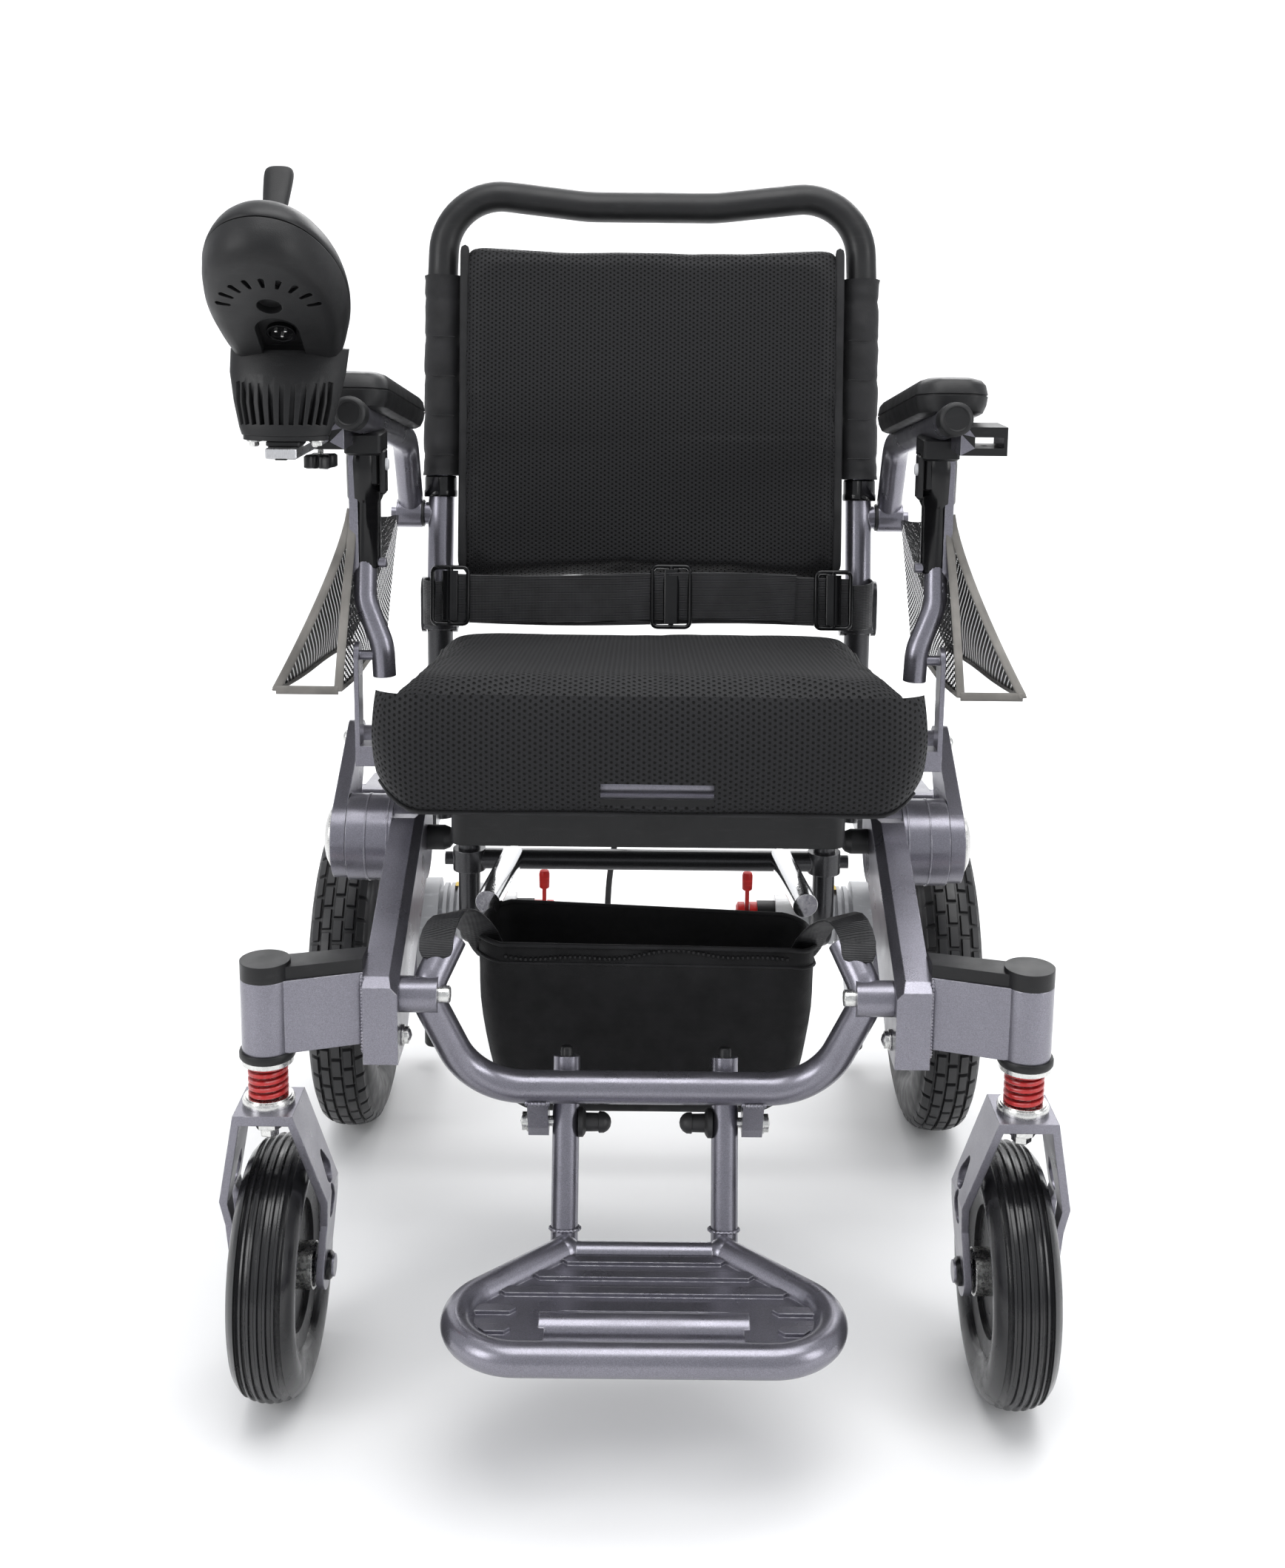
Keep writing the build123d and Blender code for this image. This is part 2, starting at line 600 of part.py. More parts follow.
def anti_tip_feet():
    """Rubber feet on the ends of the anti-tip arms."""
    feet = []
    for s in (-1, 1):
        foot = rod((s * TIP_X, TIP_Y, TIP_Z), (s * TIP_X, TIP_Y, TIP_Z + 36), 21)
        feet.append(fillet(foot.edges().group_by(Axis.Z)[0], 4))
    return feet


def hub_pins():
    """Hub pivot pins, each with its domed head outside the plate."""
    pins = []
    for s in (-1, 1):
        inner, outer = plate_faces(s)
        x_in = s * (LEG_IN + 9)
        pin = rod((x_in, HUB_Y, HUB_Z), (outer, HUB_Y, HUB_Z), HUB_PIN_D)
        dome = [(0, 0), (0, DOME_R), (3, DOME_R - 0.5), (6, DOME_R - 6), (8, DOME_R - 13),
                (DOME_H, 0)]
        pins.append(pin + turned([(s * x, r) for x, r in dome], (outer, HUB_Y, HUB_Z)))
    return pins


def lower_posts():
    """Rear uprights with the fork that holds the backrest's pivot."""
    posts = []
    for s in (-1, 1):
        x = s * POST_X
        post = pipe((x, BACK_Y - 3, LOWER_POST_Z), (x, BACK_Y - 1, BACK_Z - 32), POST_D, POST_D - 4)
        post += rod((x, BACK_Y - 1, BACK_Z - 36), (x, BACK_Y - 1, BACK_Z - 20), 37)
        for side in (-1, 1):
            x0 = x + side * (POST_D / 2 + 0.8)
            post += hull_x([(BACK_Y - 1, BACK_Z - 28, 13), (BACK_Y, BACK_Z, 13)], x0, x0 + side * 4)
        post += rod((x - 18, BACK_Y, BACK_Z), (x + 18, BACK_Y, BACK_Z), 10)
        foot = box_at(x, s * (REAR_LEG_X - REAR_LEG_T / 2), 388, BACK_Y, LOWER_POST_Z, 336)
        core = rod((x, BACK_Y - 3, 300), (x, BACK_Y - 2.8, 340), POST_D - 4)
        rail_z = rail_height(408)
        rail = box_at(s * (RAIL_X - 6), x, 400, BACK_Y - 4, rail_z - 9, rail_z + 6)
        shaft = rod((x, BACK_Y - 3, 380), (x, BACK_Y - 2, 460), POST_D - 4)
        posts.append(post + (foot - core) + (rail - shaft - rail_tube(s)))
    return posts


def rail_tube(s):
    """Solid outline of one seat rail."""
    return rod((s * RAIL_X, 30, rail_height(30)), (s * RAIL_X, 416, rail_height(416)), RAIL_D)


def seat_frame():
    """U-shaped tube under the cushion with side brackets for the arm supports."""
    z_front, z_rear = rail_height(30), rail_height(416)
    path = [(-RAIL_X, 416, z_rear), (-RAIL_X, 30, z_front), (RAIL_X, 30, z_front),
            (RAIL_X, 416, z_rear)]
    frame = bent_tube(path, [45, 45], RAIL_D)
    for s in (-1, 1):
        core = rod((s * RAIL_X, 30, z_front), (s * RAIL_X, 416, z_rear), RAIL_D - 4)
        inner, outer = plate_faces(s)
        z = rail_height(RAIL_BOLT_Y)
        frame += rod((s * RAIL_X, RAIL_BOLT_Y, z), (inner, RAIL_BOLT_Y, z), 22) - core
        z = rail_height(SUPPORT_Y)
        x_plate = s * (SUPPORT_X + SUPPORT_D / 2 + 1.5)
        reach = box_at(s * RAIL_X, x_plate + s * 4, SUPPORT_Y - 9, SUPPORT_Y + 9, z - 8, z + 9)
        frame += reach - core
        frame += hull_x([(SUPPORT_Y, z, 9), (SUPPORT_Y, BACK_Z, 11)], x_plate, x_plate + s * 4)
        frame += rod((s * (SUPPORT_X - 9), SUPPORT_Y, BACK_Z), (x_plate, SUPPORT_Y, BACK_Z), 8)
    return frame


def arch_line():
    """Corner points of the arch tube."""
    left = [(172, 418, 226), (ARCH_X, ARCH_Y, 244), (ARCH_X, ARCH_Y, ARCH_TOP)]
    return left + [(-x, y, z) for x, y, z in reversed(left)]


def arch_tube():
    """Inverted U under the seat, with its ends on the motor housings."""
    arch = bent_tube(arch_line(), [48, 58, 58, 48], ARCH_D)
    return arch - rod((-200, MOTOR_Y, MOTOR_Z), (200, MOTOR_Y, MOTOR_Z), 58)


def cross_tube():
    """Tube across the arch with a clamp at each end."""
    tube = rod((-ARCH_X, ARCH_Y, CROSS_Z), (ARCH_X, ARCH_Y, CROSS_Z), 19)
    for s in (-1, 1):
        tube += rod((s * ARCH_X, ARCH_Y, CROSS_Z - 10), (s * ARCH_X, ARCH_Y, CROSS_Z + 10), 30)
        tube += rod((s * ARCH_X, ARCH_Y, CROSS_Z), (s * (ARCH_X + 22), ARCH_Y, CROSS_Z), 12)
    for s in (-1, 1):
        tube -= rod((s * ARCH_X, ARCH_Y, CROSS_Z - 11), (s * ARCH_X, ARCH_Y, CROSS_Z + 11), ARCH_D)
    return tube


def stay_bars():
    """Polished bars that lead forward and down from the cross tube."""
    bars = []
    for s in (-1, 1):
        bar = rod((s * 123, ARCH_Y, CROSS_Z + 3), (s * 138, 207, CROSS_Z - 8), 22)
        bars.append(bar - rod((-150, ARCH_Y, CROSS_Z), (150, ARCH_Y, CROSS_Z), 19))
    return bars


def bridge_plate():
    """Light plate between the two motors."""
    my, mz = MOTOR_Y, MOTOR_Z
    plate = box_at(-138, 138, my - 46, my - 8, mz - 16, mz - 10)
    plate += box_at(-138, 138, my - 46, my - 42, mz - 16, mz - 4)
    return plate - rod((-200, my, mz), (200, my, mz), 40)


def battery_tray():
    """Open-topped tray under the seat."""
    top = seat_top(TRAY_REAR) - CUSHION_T - 2
    tray = box_at(-TRAY_HALF, TRAY_HALF, TRAY_FRONT, TRAY_REAR, TRAY_BOTTOM, top)
    tray = fillet(tray.edges().filter_by(Axis.Z), 12)
    room = box_at(-TRAY_HALF + 3, TRAY_HALF - 3, TRAY_FRONT + 3, TRAY_REAR - 3,
                  TRAY_BOTTOM + 3, top + 1)
    tray -= fillet(room.edges().filter_by(Axis.Z), 9)
    for s in (-1, 1):
        lug = box_at(s * (TRAY_HALF - 2), s * (RAIL_X - 8), 180, 210, top - 8, top)
        tray += lug - rail_tube(s)
    return tray


def battery_packs():
    """Two battery packs side by side in the tray."""
    top = seat_top(TRAY_REAR) - CUSHION_T - 8
    packs = []
    for s in (-1, 1):
        pack = box_at(s * 4, s * (TRAY_HALF - 8), TRAY_FRONT + 8, TRAY_REAR - 8,
                      TRAY_BOTTOM + 3, top)
        packs.append(fillet(pack.edges().filter_by(Axis.Z), 6))
    return packs


def seat_cable():
    """Cable from the tray's rear wall down to the bridge plate."""
    path = FilletPolyline(*CABLE_LINE, radius=arc_radii(CABLE_LINE))
    return sweep((path ^ 0) * Circle(3.0), path=path)


def arc_radii(line):
    """Radius at each corner: 0.45 of the shorter run over tan(half the turn)."""
    radii = []
    for a, b, c in zip(line, line[1:], line[2:]):
        u, v = Vector(*b) - Vector(*a), Vector(*c) - Vector(*b)
        turn = math.radians(u.get_angle(v))
        radii.append(round(0.45 * min(u.length, v.length) / math.tan(turn / 2), 2))
    return radii


def seat_cushion():
    """Seat cushion on the rails, tilted back."""
    rear = SEAT_DEPTH
    pad = slab_x([(0, seat_top(0) - CUSHION_T), (0, seat_top(0)), (rear, seat_top(rear)),
                  (rear, seat_top(rear) - CUSHION_T)], -SEAT_W / 2, SEAT_W / 2)
    corners = pad.edges().filter_by(lambda e: abs(e.tangent_at(0).Z) > 0.9)
    return fillet(corners, 30)


# ---- backrest -------------------------------------------------------------
def back_point(x, length, forward=0.0):
    """Point on the reclined back plane."""
    y, z = along_back(length, forward)
    return x, y, z


def back_tube():
    """Both posts and the push handle as one bent tube, with armrest pins."""
    top = (HANDLE_Z - POST_D / 2 - BACK_Z) / math.cos(math.radians(RECLINE))
    right = [back_point(-POST_X, -8), back_point(-POST_X + 3, top),
             back_point(-62, top - HANDLE_DIP)]
    left = [(-x, y, z) for x, y, z in reversed(right)]
    tube = bent_tube(right + left, [56, 160, 160, 56], POST_D)
    for s in (-1, 1):
        y, z = BACK_Y + LINK_DY, BACK_Z + LINK_DZ
        pin = rod((s * (POST_X + 4), y, z), (s * (ARM_X + 22), y, z), 12)
        pin += rod((s * (POST_X + 6), y, z), (s * (POST_X + 15), y, z), 22)
        inner = rod(back_point(s * POST_X, 40), back_point(s * POST_X, 110), POST_D - 4)
        tube += pin - inner
        tube -= rod((s * (POST_X - 20), BACK_Y, BACK_Z), (s * (POST_X + 20), BACK_Y, BACK_Z),
                    10 + 2 * RUN_GAP)
    return tube


def back_slab(l0, l1, f0, f1, half):
    """Block on the back plane, between two lengths and two forward offsets."""
    outline = [along_back(l0, f0), along_back(l1, f0), along_back(l1, f1), along_back(l0, f1)]
    return slab_x(outline, -half, half)


def back_pad():
    """Backrest upholstery between the posts."""
    pad = back_slab(BACK_PAD_FROM, BACK_PAD_TO, -6, BACK_PAD_T - 6, BACK_PAD_HALF)
    return fillet(pad.edges().filter_by(Axis.X), 8)


def lap_belt():
    """Belt webbing across the front of the backrest."""
    f0 = BACK_PAD_T - 6 + FREE_GAP
    return back_slab(BELT_FROM, BELT_TO, f0, f0 + 2.5, BACK_PAD_HALF)


# ---- armrests -------------------------------------------------------------
def arm_line(y):
    """Centre height of the armrest tube."""
    return ARM_FRONT_Z - (y - ARM_FRONT_Y) * math.tan(math.radians(ARM_SLOPE))


def arm_frame(s):
    """Armrest tube with its rear pivot eye, front bracket and accessory receiver."""
    x = s * ARM_X
    py, pz = BACK_Y + LINK_DY, BACK_Z + LINK_DZ
    rear = 396.0
    line = [(x, ARM_FRONT_Y, ARM_FRONT_Z), (x, rear, arm_line(rear)), (x + s * 3, py, pz + 8)]
    arm = bent_tube(line, [55], ARM_TUBE_D)
    eye = rod((s * (ARM_X - 8), py, pz), (s * (ARM_X + 16), py, pz), 28)
    arm += eye
    arm -= rod((s * (ARM_X - 30), py, pz), (s * (ARM_X + 30), py, pz), 12 + 2 * RUN_GAP)
    fy, fz = SUPPORT_Y + LINK_DY, BACK_Z + LINK_DZ
    x_lug = s * (SUPPORT_X + SUPPORT_D / 2 + 2)
    core = rod((x, ARM_FRONT_Y, ARM_FRONT_Z), (x, rear, arm_line(rear)), ARM_TUBE_D - 4)
    lug = hull_x([(fy, fz, 10), (fy, arm_line(fy) - 8, 12.5)], x_lug, x_lug + s * 7)
    lug += rod((x_lug, fy, fz), (s * (SUPPORT_X - 9), fy, fz), 8)
    block_z = arm_line(115)
    block = box_at(x + s * 6, x + s * 42, 95, 137, block_z - 24, block_z - 2)
    slot = box_at(x + s * 17, x + s * (17 + RAIL_W + 0.4), 80, 150, block_z - 18.2,
                  block_z - 18 + RAIL_H + 0.2)
    screw = rod((x + s * 28, 116, block_z - 25), (x + s * 28, 116, block_z - 17), 5)
    arm += (lug - core) + (block - slot - core - screw)
    return arm


def arm_pad(s):
    """Armrest pad on top of the tube."""
    mid = ARM_FRONT_Y + 22 + PAD_L / 2
    lift = ARM_TUBE_D / 2 + PAD_T / 2 - 6
    a = math.radians(ARM_SLOPE)
    pad = Box(PAD_W, PAD_L, PAD_T)
    pad = fillet(pad.edges().filter_by(Axis.Z), 22)
    pad = fillet(pad.edges().group_by(Axis.Z)[-1], 8)
    spot = Pos(s * (ARM_X + 4), mid + lift * math.sin(a), arm_line(mid) + lift * math.cos(a))
    pad = spot * Rot(X=-ARM_SLOPE) * pad
    tube = rod((s * ARM_X, 60, arm_line(60)), (s * ARM_X, 430, arm_line(430)), ARM_TUBE_D + 0.02)
    return pad - tube


def arm_support(s):
    """Link from the seat frame's bracket up to the armrest, parallel to the posts."""
    foot = (s * SUPPORT_X, SUPPORT_Y, BACK_Z)
    head = (s * SUPPORT_X, SUPPORT_Y + LINK_DY, BACK_Z + LINK_DZ)
    link = rod(foot, head, SUPPORT_D - 2)
    for end in (foot, head):
        eye = rod((end[0] - 8, end[1], end[2]), (end[0] + 8, end[1], end[2]), SUPPORT_D)
        link += eye
    for end in (foot, head):
        link -= rod((end[0] - 11, end[1], end[2]), (end[0] + 11, end[1], end[2]), 8 + 0.8)
    return link


# ---- controller -----------------------------------------------------------
def control_place():
    """Place and tilt of the controller housing."""
    return Pos(CONTROL_X, CONTROL_Y, CONTROL_Z) * Rot(X=-CONTROL_TILT)


def egg(length, width):
    """Flat egg outline with its blunt end at the front."""
    blunt, tail = width / 2, width * 0.34
    ends = [Pos(0, -length / 2 + blunt) * Circle(blunt), Pos(0, length / 2 - tail) * Circle(tail)]
    return make_hull([e for c in ends for e in c.edges()])


def shell_half(up):
    """One hollow half of the housing; up is 1 for the top and -1 for the bottom."""
    h = CONTROL_H / 2
    outer = extrude(egg(CONTROL_L, CONTROL_W), h, dir=(0, 0, up))
    rim = outer.edges().group_by(Axis.Z)[-1 if up > 0 else 0]
    outer = fillet(rim, 15)
    wall = 2 * SHELL_T
    inner = extrude(egg(CONTROL_L - wall, CONTROL_W - wall), h - SHELL_T, dir=(0, 0, up))
    rim = inner.edges().group_by(Axis.Z)[-1 if up > 0 else 0]
    return outer - fillet(rim, 13)


def controller_top():
    """Upper shell with the stick's opening and the button's hole."""
    top = shell_half(1)
    h = CONTROL_H / 2
    top -= Pos(0, STICK_LOCAL_Y, h) * Cylinder(15, 12)
    bx, by = BUTTON_SPOT
    top -= Pos(bx, by, h) * Cylinder(9.3, 12)
    return control_place() * top


def controller_bottom():
    """Lower shell with the mounting stem and the rail."""
    shell = control_place() * shell_half(-1)
    rail_z = arm_line(115) - 18 + RAIL_H / 2
    rail_x = -(ARM_X + 17 + RAIL_W / 2 + 0.2)
    rail = box_at(rail_x - RAIL_W / 2, rail_x + RAIL_W / 2, -34, 146, rail_z - RAIL_H / 2,
                  rail_z + RAIL_H / 2)
    stem = rod((rail_x, -24, rail_z), (CONTROL_X, -14, CONTROL_Z - 18), 20)
    room = control_place() * extrude(egg(CONTROL_L - 2 * SHELL_T, CONTROL_W - 2 * SHELL_T),
                                     CONTROL_H / 2 - SHELL_T, dir=(0, 0, -1))
    return shell + rail + (stem - room)


def stick_gimbal():
    """Ring inside the housing that carries the joystick."""
    ring = Cylinder(12, 6) - Cylinder(8, 6)
    return control_place() * Pos(0, STICK_LOCAL_Y, 8) * ring


def joystick():
    """Stick with its knob."""
    stick = Pos(0, 0, 26) * Cylinder(STICK_D / 2, 44)
    stick += Sphere(7.6)
    knob = Pos(0, 0, 50) * Cylinder(KNOB_D / 2, 22)
    knob = fillet(knob.edges().group_by(Axis.Z)[-1], 5)
    return control_place() * Pos(0, STICK_LOCAL_Y, 8) * (stick + knob)


def power_button():
    """Push button in the upper shell."""
    bx, by = BUTTON_SPOT
    cap = Pos(bx, by, CONTROL_H / 2 - 2) * Cylinder(9, 8)
    return control_place() * fillet(cap.edges().group_by(Axis.Z)[-1], 1.2)


def clamp_knob():
    """Lobed thumb knob that tightens the controller's rail."""
    x = -(ARM_X + 28)
    z = arm_line(115) - 24
    knob = Pos(x, 116, z - 9) * Cylinder(8, 14)
    for k in range(4):
        a = math.pi / 2 * k + math.pi / 4
        knob += Pos(x + 9 * math.cos(a), 116 + 9 * math.sin(a), z - 10) * Cylinder(5, 11)
    return knob + rod((x, 116, z - 4), (x, 116, z + 5.5), 4.9)


# ---- assembly -------------------------------------------------------------
def keep(name, *shapes):
    """Move the pieces to the chair's own origin and note them under a name."""
    solids = []
    for shape in shapes:
        for piece in shape if isinstance(shape, list) else [shape]:
            solids += (Pos(0, Y_SHIFT, 0) * piece).solids()
    parts[name] = Compound(children=[Solid(s.wrapped) for s in solids])


def collar(s):
    """Zinc collar under the caster arm."""
    ring = rod((s * CASTER_X, STEM_Y, COLLAR_Z), (s * CASTER_X, STEM_Y, ARM_Z), COLLAR_D)
    return ring - rod((s * CASTER_X, STEM_Y, COLLAR_Z - 1), (s * CASTER_X, STEM_Y, ARM_Z + 1),
                      STEM_D + 2 * RUN_GAP)


def build_sides():
    """Pieces that come once on each side."""
    for side, s in SIDES:
        keep(f"rear_leg_{side}", rear_leg(s))
        keep(f"gear_motor_{side}", gear_motor(s))
        keep(f"clutch_lever_{side}", clutch_lever(s))
        keep(f"rear_tyre_{side}", tyre(s * REAR_X, WHEEL_BASE, REAR_AXLE_Z, REAR_D, REAR_W,
                                       REAR_RIM_D))
        keep(f"rear_rim_{side}", rear_rim(s))
        keep(f"front_leg_{side}", front_leg(s))
        keep(f"caster_arm_{side}", caster_arm(s))
        keep(f"caster_stem_{side}", caster_stem(s))
        keep(f"caster_spring_{side}", caster_spring(s))
        keep(f"caster_fork_{side}", caster_fork(s), caster_axle(s))
        keep(f"caster_tyre_{side}", tyre(s * CASTER_X, 0, AXLE_Z, CASTER_D, CASTER_W, CASTER_RIM_D))
        keep(f"caster_rim_{side}", wheel_rim(s * CASTER_X, 0, AXLE_Z, CASTER_RIM_D, CASTER_W,
                                             CASTER_HUB_W, AXLE_D + 2 * RUN_GAP))
        keep(f"arm_frame_{side}", arm_frame(s))
        keep(f"arm_pad_{side}", arm_pad(s))
        keep(f"arm_support_{side}", arm_support(s))


def build_shared():
    """Pieces that come once, and groups of like pieces on one body."""
    keep("footrest_tube", footrest_tube())
    u_solid = u_tube_solid()
    keep("footrest_clamps", [c - u_solid for c in footrest_clamps()])
    keep("frame_bolts", [b - u_solid for b in frame_bolts()])
    keep("frame_bumpers", frame_bumpers())
    keep("caster_caps", [caster_cap(s) for s in (-1, 1)])
    keep("caster_collars", [collar(s) for s in (-1, 1)])
    keep("storage_bag", storage_bag())
    keep("footplate", footplate())
    keep("footplate_legs", footplate_legs())
    keep("anti_tip_feet", anti_tip_feet())
    keep("hub_pins", hub_pins())
    keep("lower_posts", lower_posts())
    keep("seat_frame", seat_frame())
    keep("arch_tube", arch_tube())
    keep("cross_tube", cross_tube())
    keep("stay_bars", stay_bars())
    keep("bridge_plate", bridge_plate())
    keep("battery_tray", battery_tray())
    keep("battery_packs", battery_packs())
    keep("seat_cable", seat_cable())
    keep("seat_cushion", seat_cushion())
    keep("back_tube", back_tube())
    keep("back_pad", back_pad())
    keep("lap_belt", lap_belt())
    keep("controller_top", controller_top())
    keep("controller_bottom", controller_bottom())
    keep("stick_gimbal", stick_gimbal())
    keep("joystick", joystick())
    keep("power_button", power_button())
    keep("clamp_knob", clamp_knob())


build_sides()
build_shared()
os.makedirs("parts", exist_ok=True)
for name, shape in parts.items():
    export_step(shape, f"parts/{name}.step")
print(len(parts), "nodes")
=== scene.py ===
"""Looks of the folding power wheelchair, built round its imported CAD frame.

The chair faces -Y. Shapes made here are given in millimetres in the CAD's own
layout, with y measured from the line where the front casters touch the floor;
make() turns them into the frame's metres.
"""
import bpy
import bmesh
import math
from mathutils import Matrix, Vector, noise
from mathutils.bvhtree import BVHTree


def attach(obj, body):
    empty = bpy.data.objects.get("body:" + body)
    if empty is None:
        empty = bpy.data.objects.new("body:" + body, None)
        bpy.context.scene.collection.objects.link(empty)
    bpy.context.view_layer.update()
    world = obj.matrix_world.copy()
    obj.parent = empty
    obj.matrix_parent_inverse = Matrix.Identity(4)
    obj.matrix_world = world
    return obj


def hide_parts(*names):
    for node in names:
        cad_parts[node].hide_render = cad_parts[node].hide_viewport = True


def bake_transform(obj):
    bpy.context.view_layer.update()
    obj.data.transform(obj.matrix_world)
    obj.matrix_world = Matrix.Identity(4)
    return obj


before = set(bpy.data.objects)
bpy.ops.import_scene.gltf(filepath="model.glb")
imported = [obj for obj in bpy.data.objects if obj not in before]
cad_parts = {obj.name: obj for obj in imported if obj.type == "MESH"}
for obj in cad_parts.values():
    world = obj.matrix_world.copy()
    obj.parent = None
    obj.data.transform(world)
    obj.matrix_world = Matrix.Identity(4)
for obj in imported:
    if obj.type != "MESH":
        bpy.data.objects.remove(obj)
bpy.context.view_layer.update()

MM = 0.001
Y_SHIFT = -226.0
SIDES = (("left", 1), ("right", -1))

# ---- sizes shared with the CAD ---------------------------------------------
CASTER_X, CASTER_D, CASTER_W, CASTER_RIM_D = 280.0, 196.0, 50.0, 122.0
AXLE_Z = CASTER_D / 2
CASTER_CAP_X = 35.2
STEM_Y = -30.0
SPRING_LOW, SPRING_HIGH, SPRING_D = 255.0, 281.0, 30.0
REAR_X, REAR_Y, REAR_D, REAR_W, REAR_RIM_D = 290.0, 453.0, 318.0, 60.0, 208.0
REAR_Z = REAR_D / 2
HUB_Y, HUB_Z = 165.0, 389.0
DRUM_LEDGE_X = (214.0, 232.0)
BACK_Y, BACK_Z, RECLINE = 441.0, 548.0, 9.0
POST_X = 204.0
HANDLE_TOP, HANDLE_DIP = 390.2, 16.0
SEAT_HALF, SEAT_DEPTH, SEAT_FRONT_Z, CUSHION_T = 209.0, 416.0, 559.0, 64.0
SEAT_SLOPE = math.tan(math.radians(6.6))
PAD_HALF, PAD_FROM, PAD_TO = 185.0, 6.0, 340.0
ARM_X, ARM_FRONT_Y, ARM_FRONT_Z = 230.0, 85.0, 750.0
ARM_SLOPE = math.tan(math.radians(9.0))
MOTOR_Y, MOTOR_Z = 440.0, 219.0
MOTOR_END_X, MOTOR_BRAKE_X, MOTOR_PLATE_X = 113.0, 129.0, 151.0
BAG_FLOOR, BAG_FRONT_Y = 168.0, 104.0
RAIL_X, RAIL_Z, RAIL_HALF_W, RAIL_HALF_H = -258.2, 731.2, 10.9, 3.9
KNOB_SPOT = (-258.0, 116.0, 721.0)

# ---- sizes of the soft and moulded pieces ------------------------------------
CORNER_R, SEAT_INSET = 34.0, 6.0
BELT_ALONG, BELT_FORWARD, BELT_W = -7.0, 30.5, 47.0
# x, rise over the belt's middle, forward of the belt, width, height
BUCKLES = ((21, 4, 8.0, 36, 58), (176, 2, 6.5, 33, 54), (-190, 3, 6.5, 34, 54))
SKIRT_HALF, SKIRT_TURN_X, SKIRT_TURN_R, SKIRT_LOW = 204.0, 168.0, 46.0, 461.0
NET_ROWS, NET_COLUMNS, NET_FLOOR = 14, 24, 506.0
# name, bulge at the foot, x at the top, flat size in metres
NET_PANELS = (("outer", 58.0, 242.0, (0.150, 0.232)), ("inner", 10.0, 240.0, (0.144, 0.227)))
EGG_HALF_L, EGG_HALF_W = 91.0, 50.0
FLANGE_Y, FLANGE_HALF_X, FLANGE_HALF_Y = -14.0, 30.0, 15.0
CLOTH_FRAMES, CLOTH_VOXEL, CLOTH_PRESSURE = 20, 0.006, 4.0
LENS_MM, LENS_SHIFT = 40.436, -0.13314
CAMERA_SPOT, CAMERA_PITCH, CAMERA_ROLL = (-0.0065, -1.476, 0.863), 80.0, 0.58


# ---- shapes: (vertices, faces), in millimetres ------------------------------
def at(x, y, z):
    """A point of the CAD's layout in the frame's metres."""
    return Vector((x * MM, (y + Y_SHIFT) * MM, z * MM))


def on_back(x, along, forward=0.0):
    """Point on the reclined backrest plane, forward of the posts' centre."""
    a = math.radians(RECLINE)
    y = BACK_Y + along * math.sin(a) - forward * math.cos(a)
    return Vector((x, y, BACK_Z + along * math.cos(a) + forward * math.sin(a)))


def seat_top(y):
    """Height of the cushion's upper face."""
    return SEAT_FRONT_Z - SEAT_SLOPE * y


def join(*shapes):
    """Several shapes as one."""
    verts, faces = [], []
    for v, f in shapes:
        faces += [tuple(i + len(verts) for i in face) for face in f]
        verts += list(v)
    return verts, faces


def loft(rings, wrap=False):
    """Skin over rings of equally many points, closed at its ends unless it wraps round."""
    m, n = len(rings[0]), len(rings)
    verts = [tuple(v) for ring in rings for v in ring]
    faces = []
    for i in range(n if wrap else n - 1):
        k = ((i + 1) % n) * m
        faces += [(i * m + j, i * m + (j + 1) % m, k + (j + 1) % m, k + j) for j in range(m)]
    if not wrap:
        faces += [tuple(reversed(range(m))), tuple(range(len(verts) - m, len(verts)))]
    return verts, faces


def ring_of(r, steps=24, ratio=1.0):
    """Circle or ellipse as a section."""
    turn = 2 * math.pi / steps
    return [(r * math.cos(turn * k), r * ratio * math.sin(turn * k)) for k in range(steps)]


def strap_section(width, thick):
    """Flat band's section with rounded edges."""
    a, b = width / 2, thick / 2
    half = [(a, -b * 0.4), (a, b * 0.4), (a - b * 0.6, b), (a * 0.34, b * 1.06)]
    half += [(-a * 0.34, b * 1.06), (-a + b * 0.6, b)]
    return half + [(-u, -v) for u, v in half]


def sweep(path, section, across=(0, 0, 1), closed=False, hold=False):
    """Section carried along a path; its first axis starts along across."""
    points = [Vector(p) for p in path]
    n, side, rings = len(points), Vector(across), []
    for i, p in enumerate(points):
        a = points[(i - 1) % n] if closed or i else p
        b = points[(i + 1) % n] if closed or i < n - 1 else p
        t = (b - a).normalized()
        side = Vector(across) if hold else side
        side = (side - t * side.dot(t)).normalized()
        up = t.cross(side)
        rings.append([p + side * u + up * v for u, v in section])
    return loft(rings, wrap=closed)


def rounded(points, radii, steps=8):
    """Corner points joined by straight runs and arcs."""
    pts = [Vector(p) for p in points]
    line = [pts[0]]
    for a, c, b, r in zip(pts, pts[1:], pts[2:], radii):
        u, v = (c - a).normalized(), (b - c).normalized()
        turn = u.angle(v)
        reach = r * math.tan(turn / 2)
        axis = u.cross(v).normalized()
        inward = axis.cross(u)
        centre = c - u * reach + inward * r
        for k in range(steps + 1):
            spin = Matrix.Rotation(turn * k / steps, 3, axis)
            line.append(centre + spin @ (-inward * r))
    return line + [pts[-1]]


def square_to(axis):
    """Unit vector along an axis, and two square to it."""
    n = Vector(axis).normalized()
    side = n.orthogonal().normalized()
    return n, side, n.cross(side)


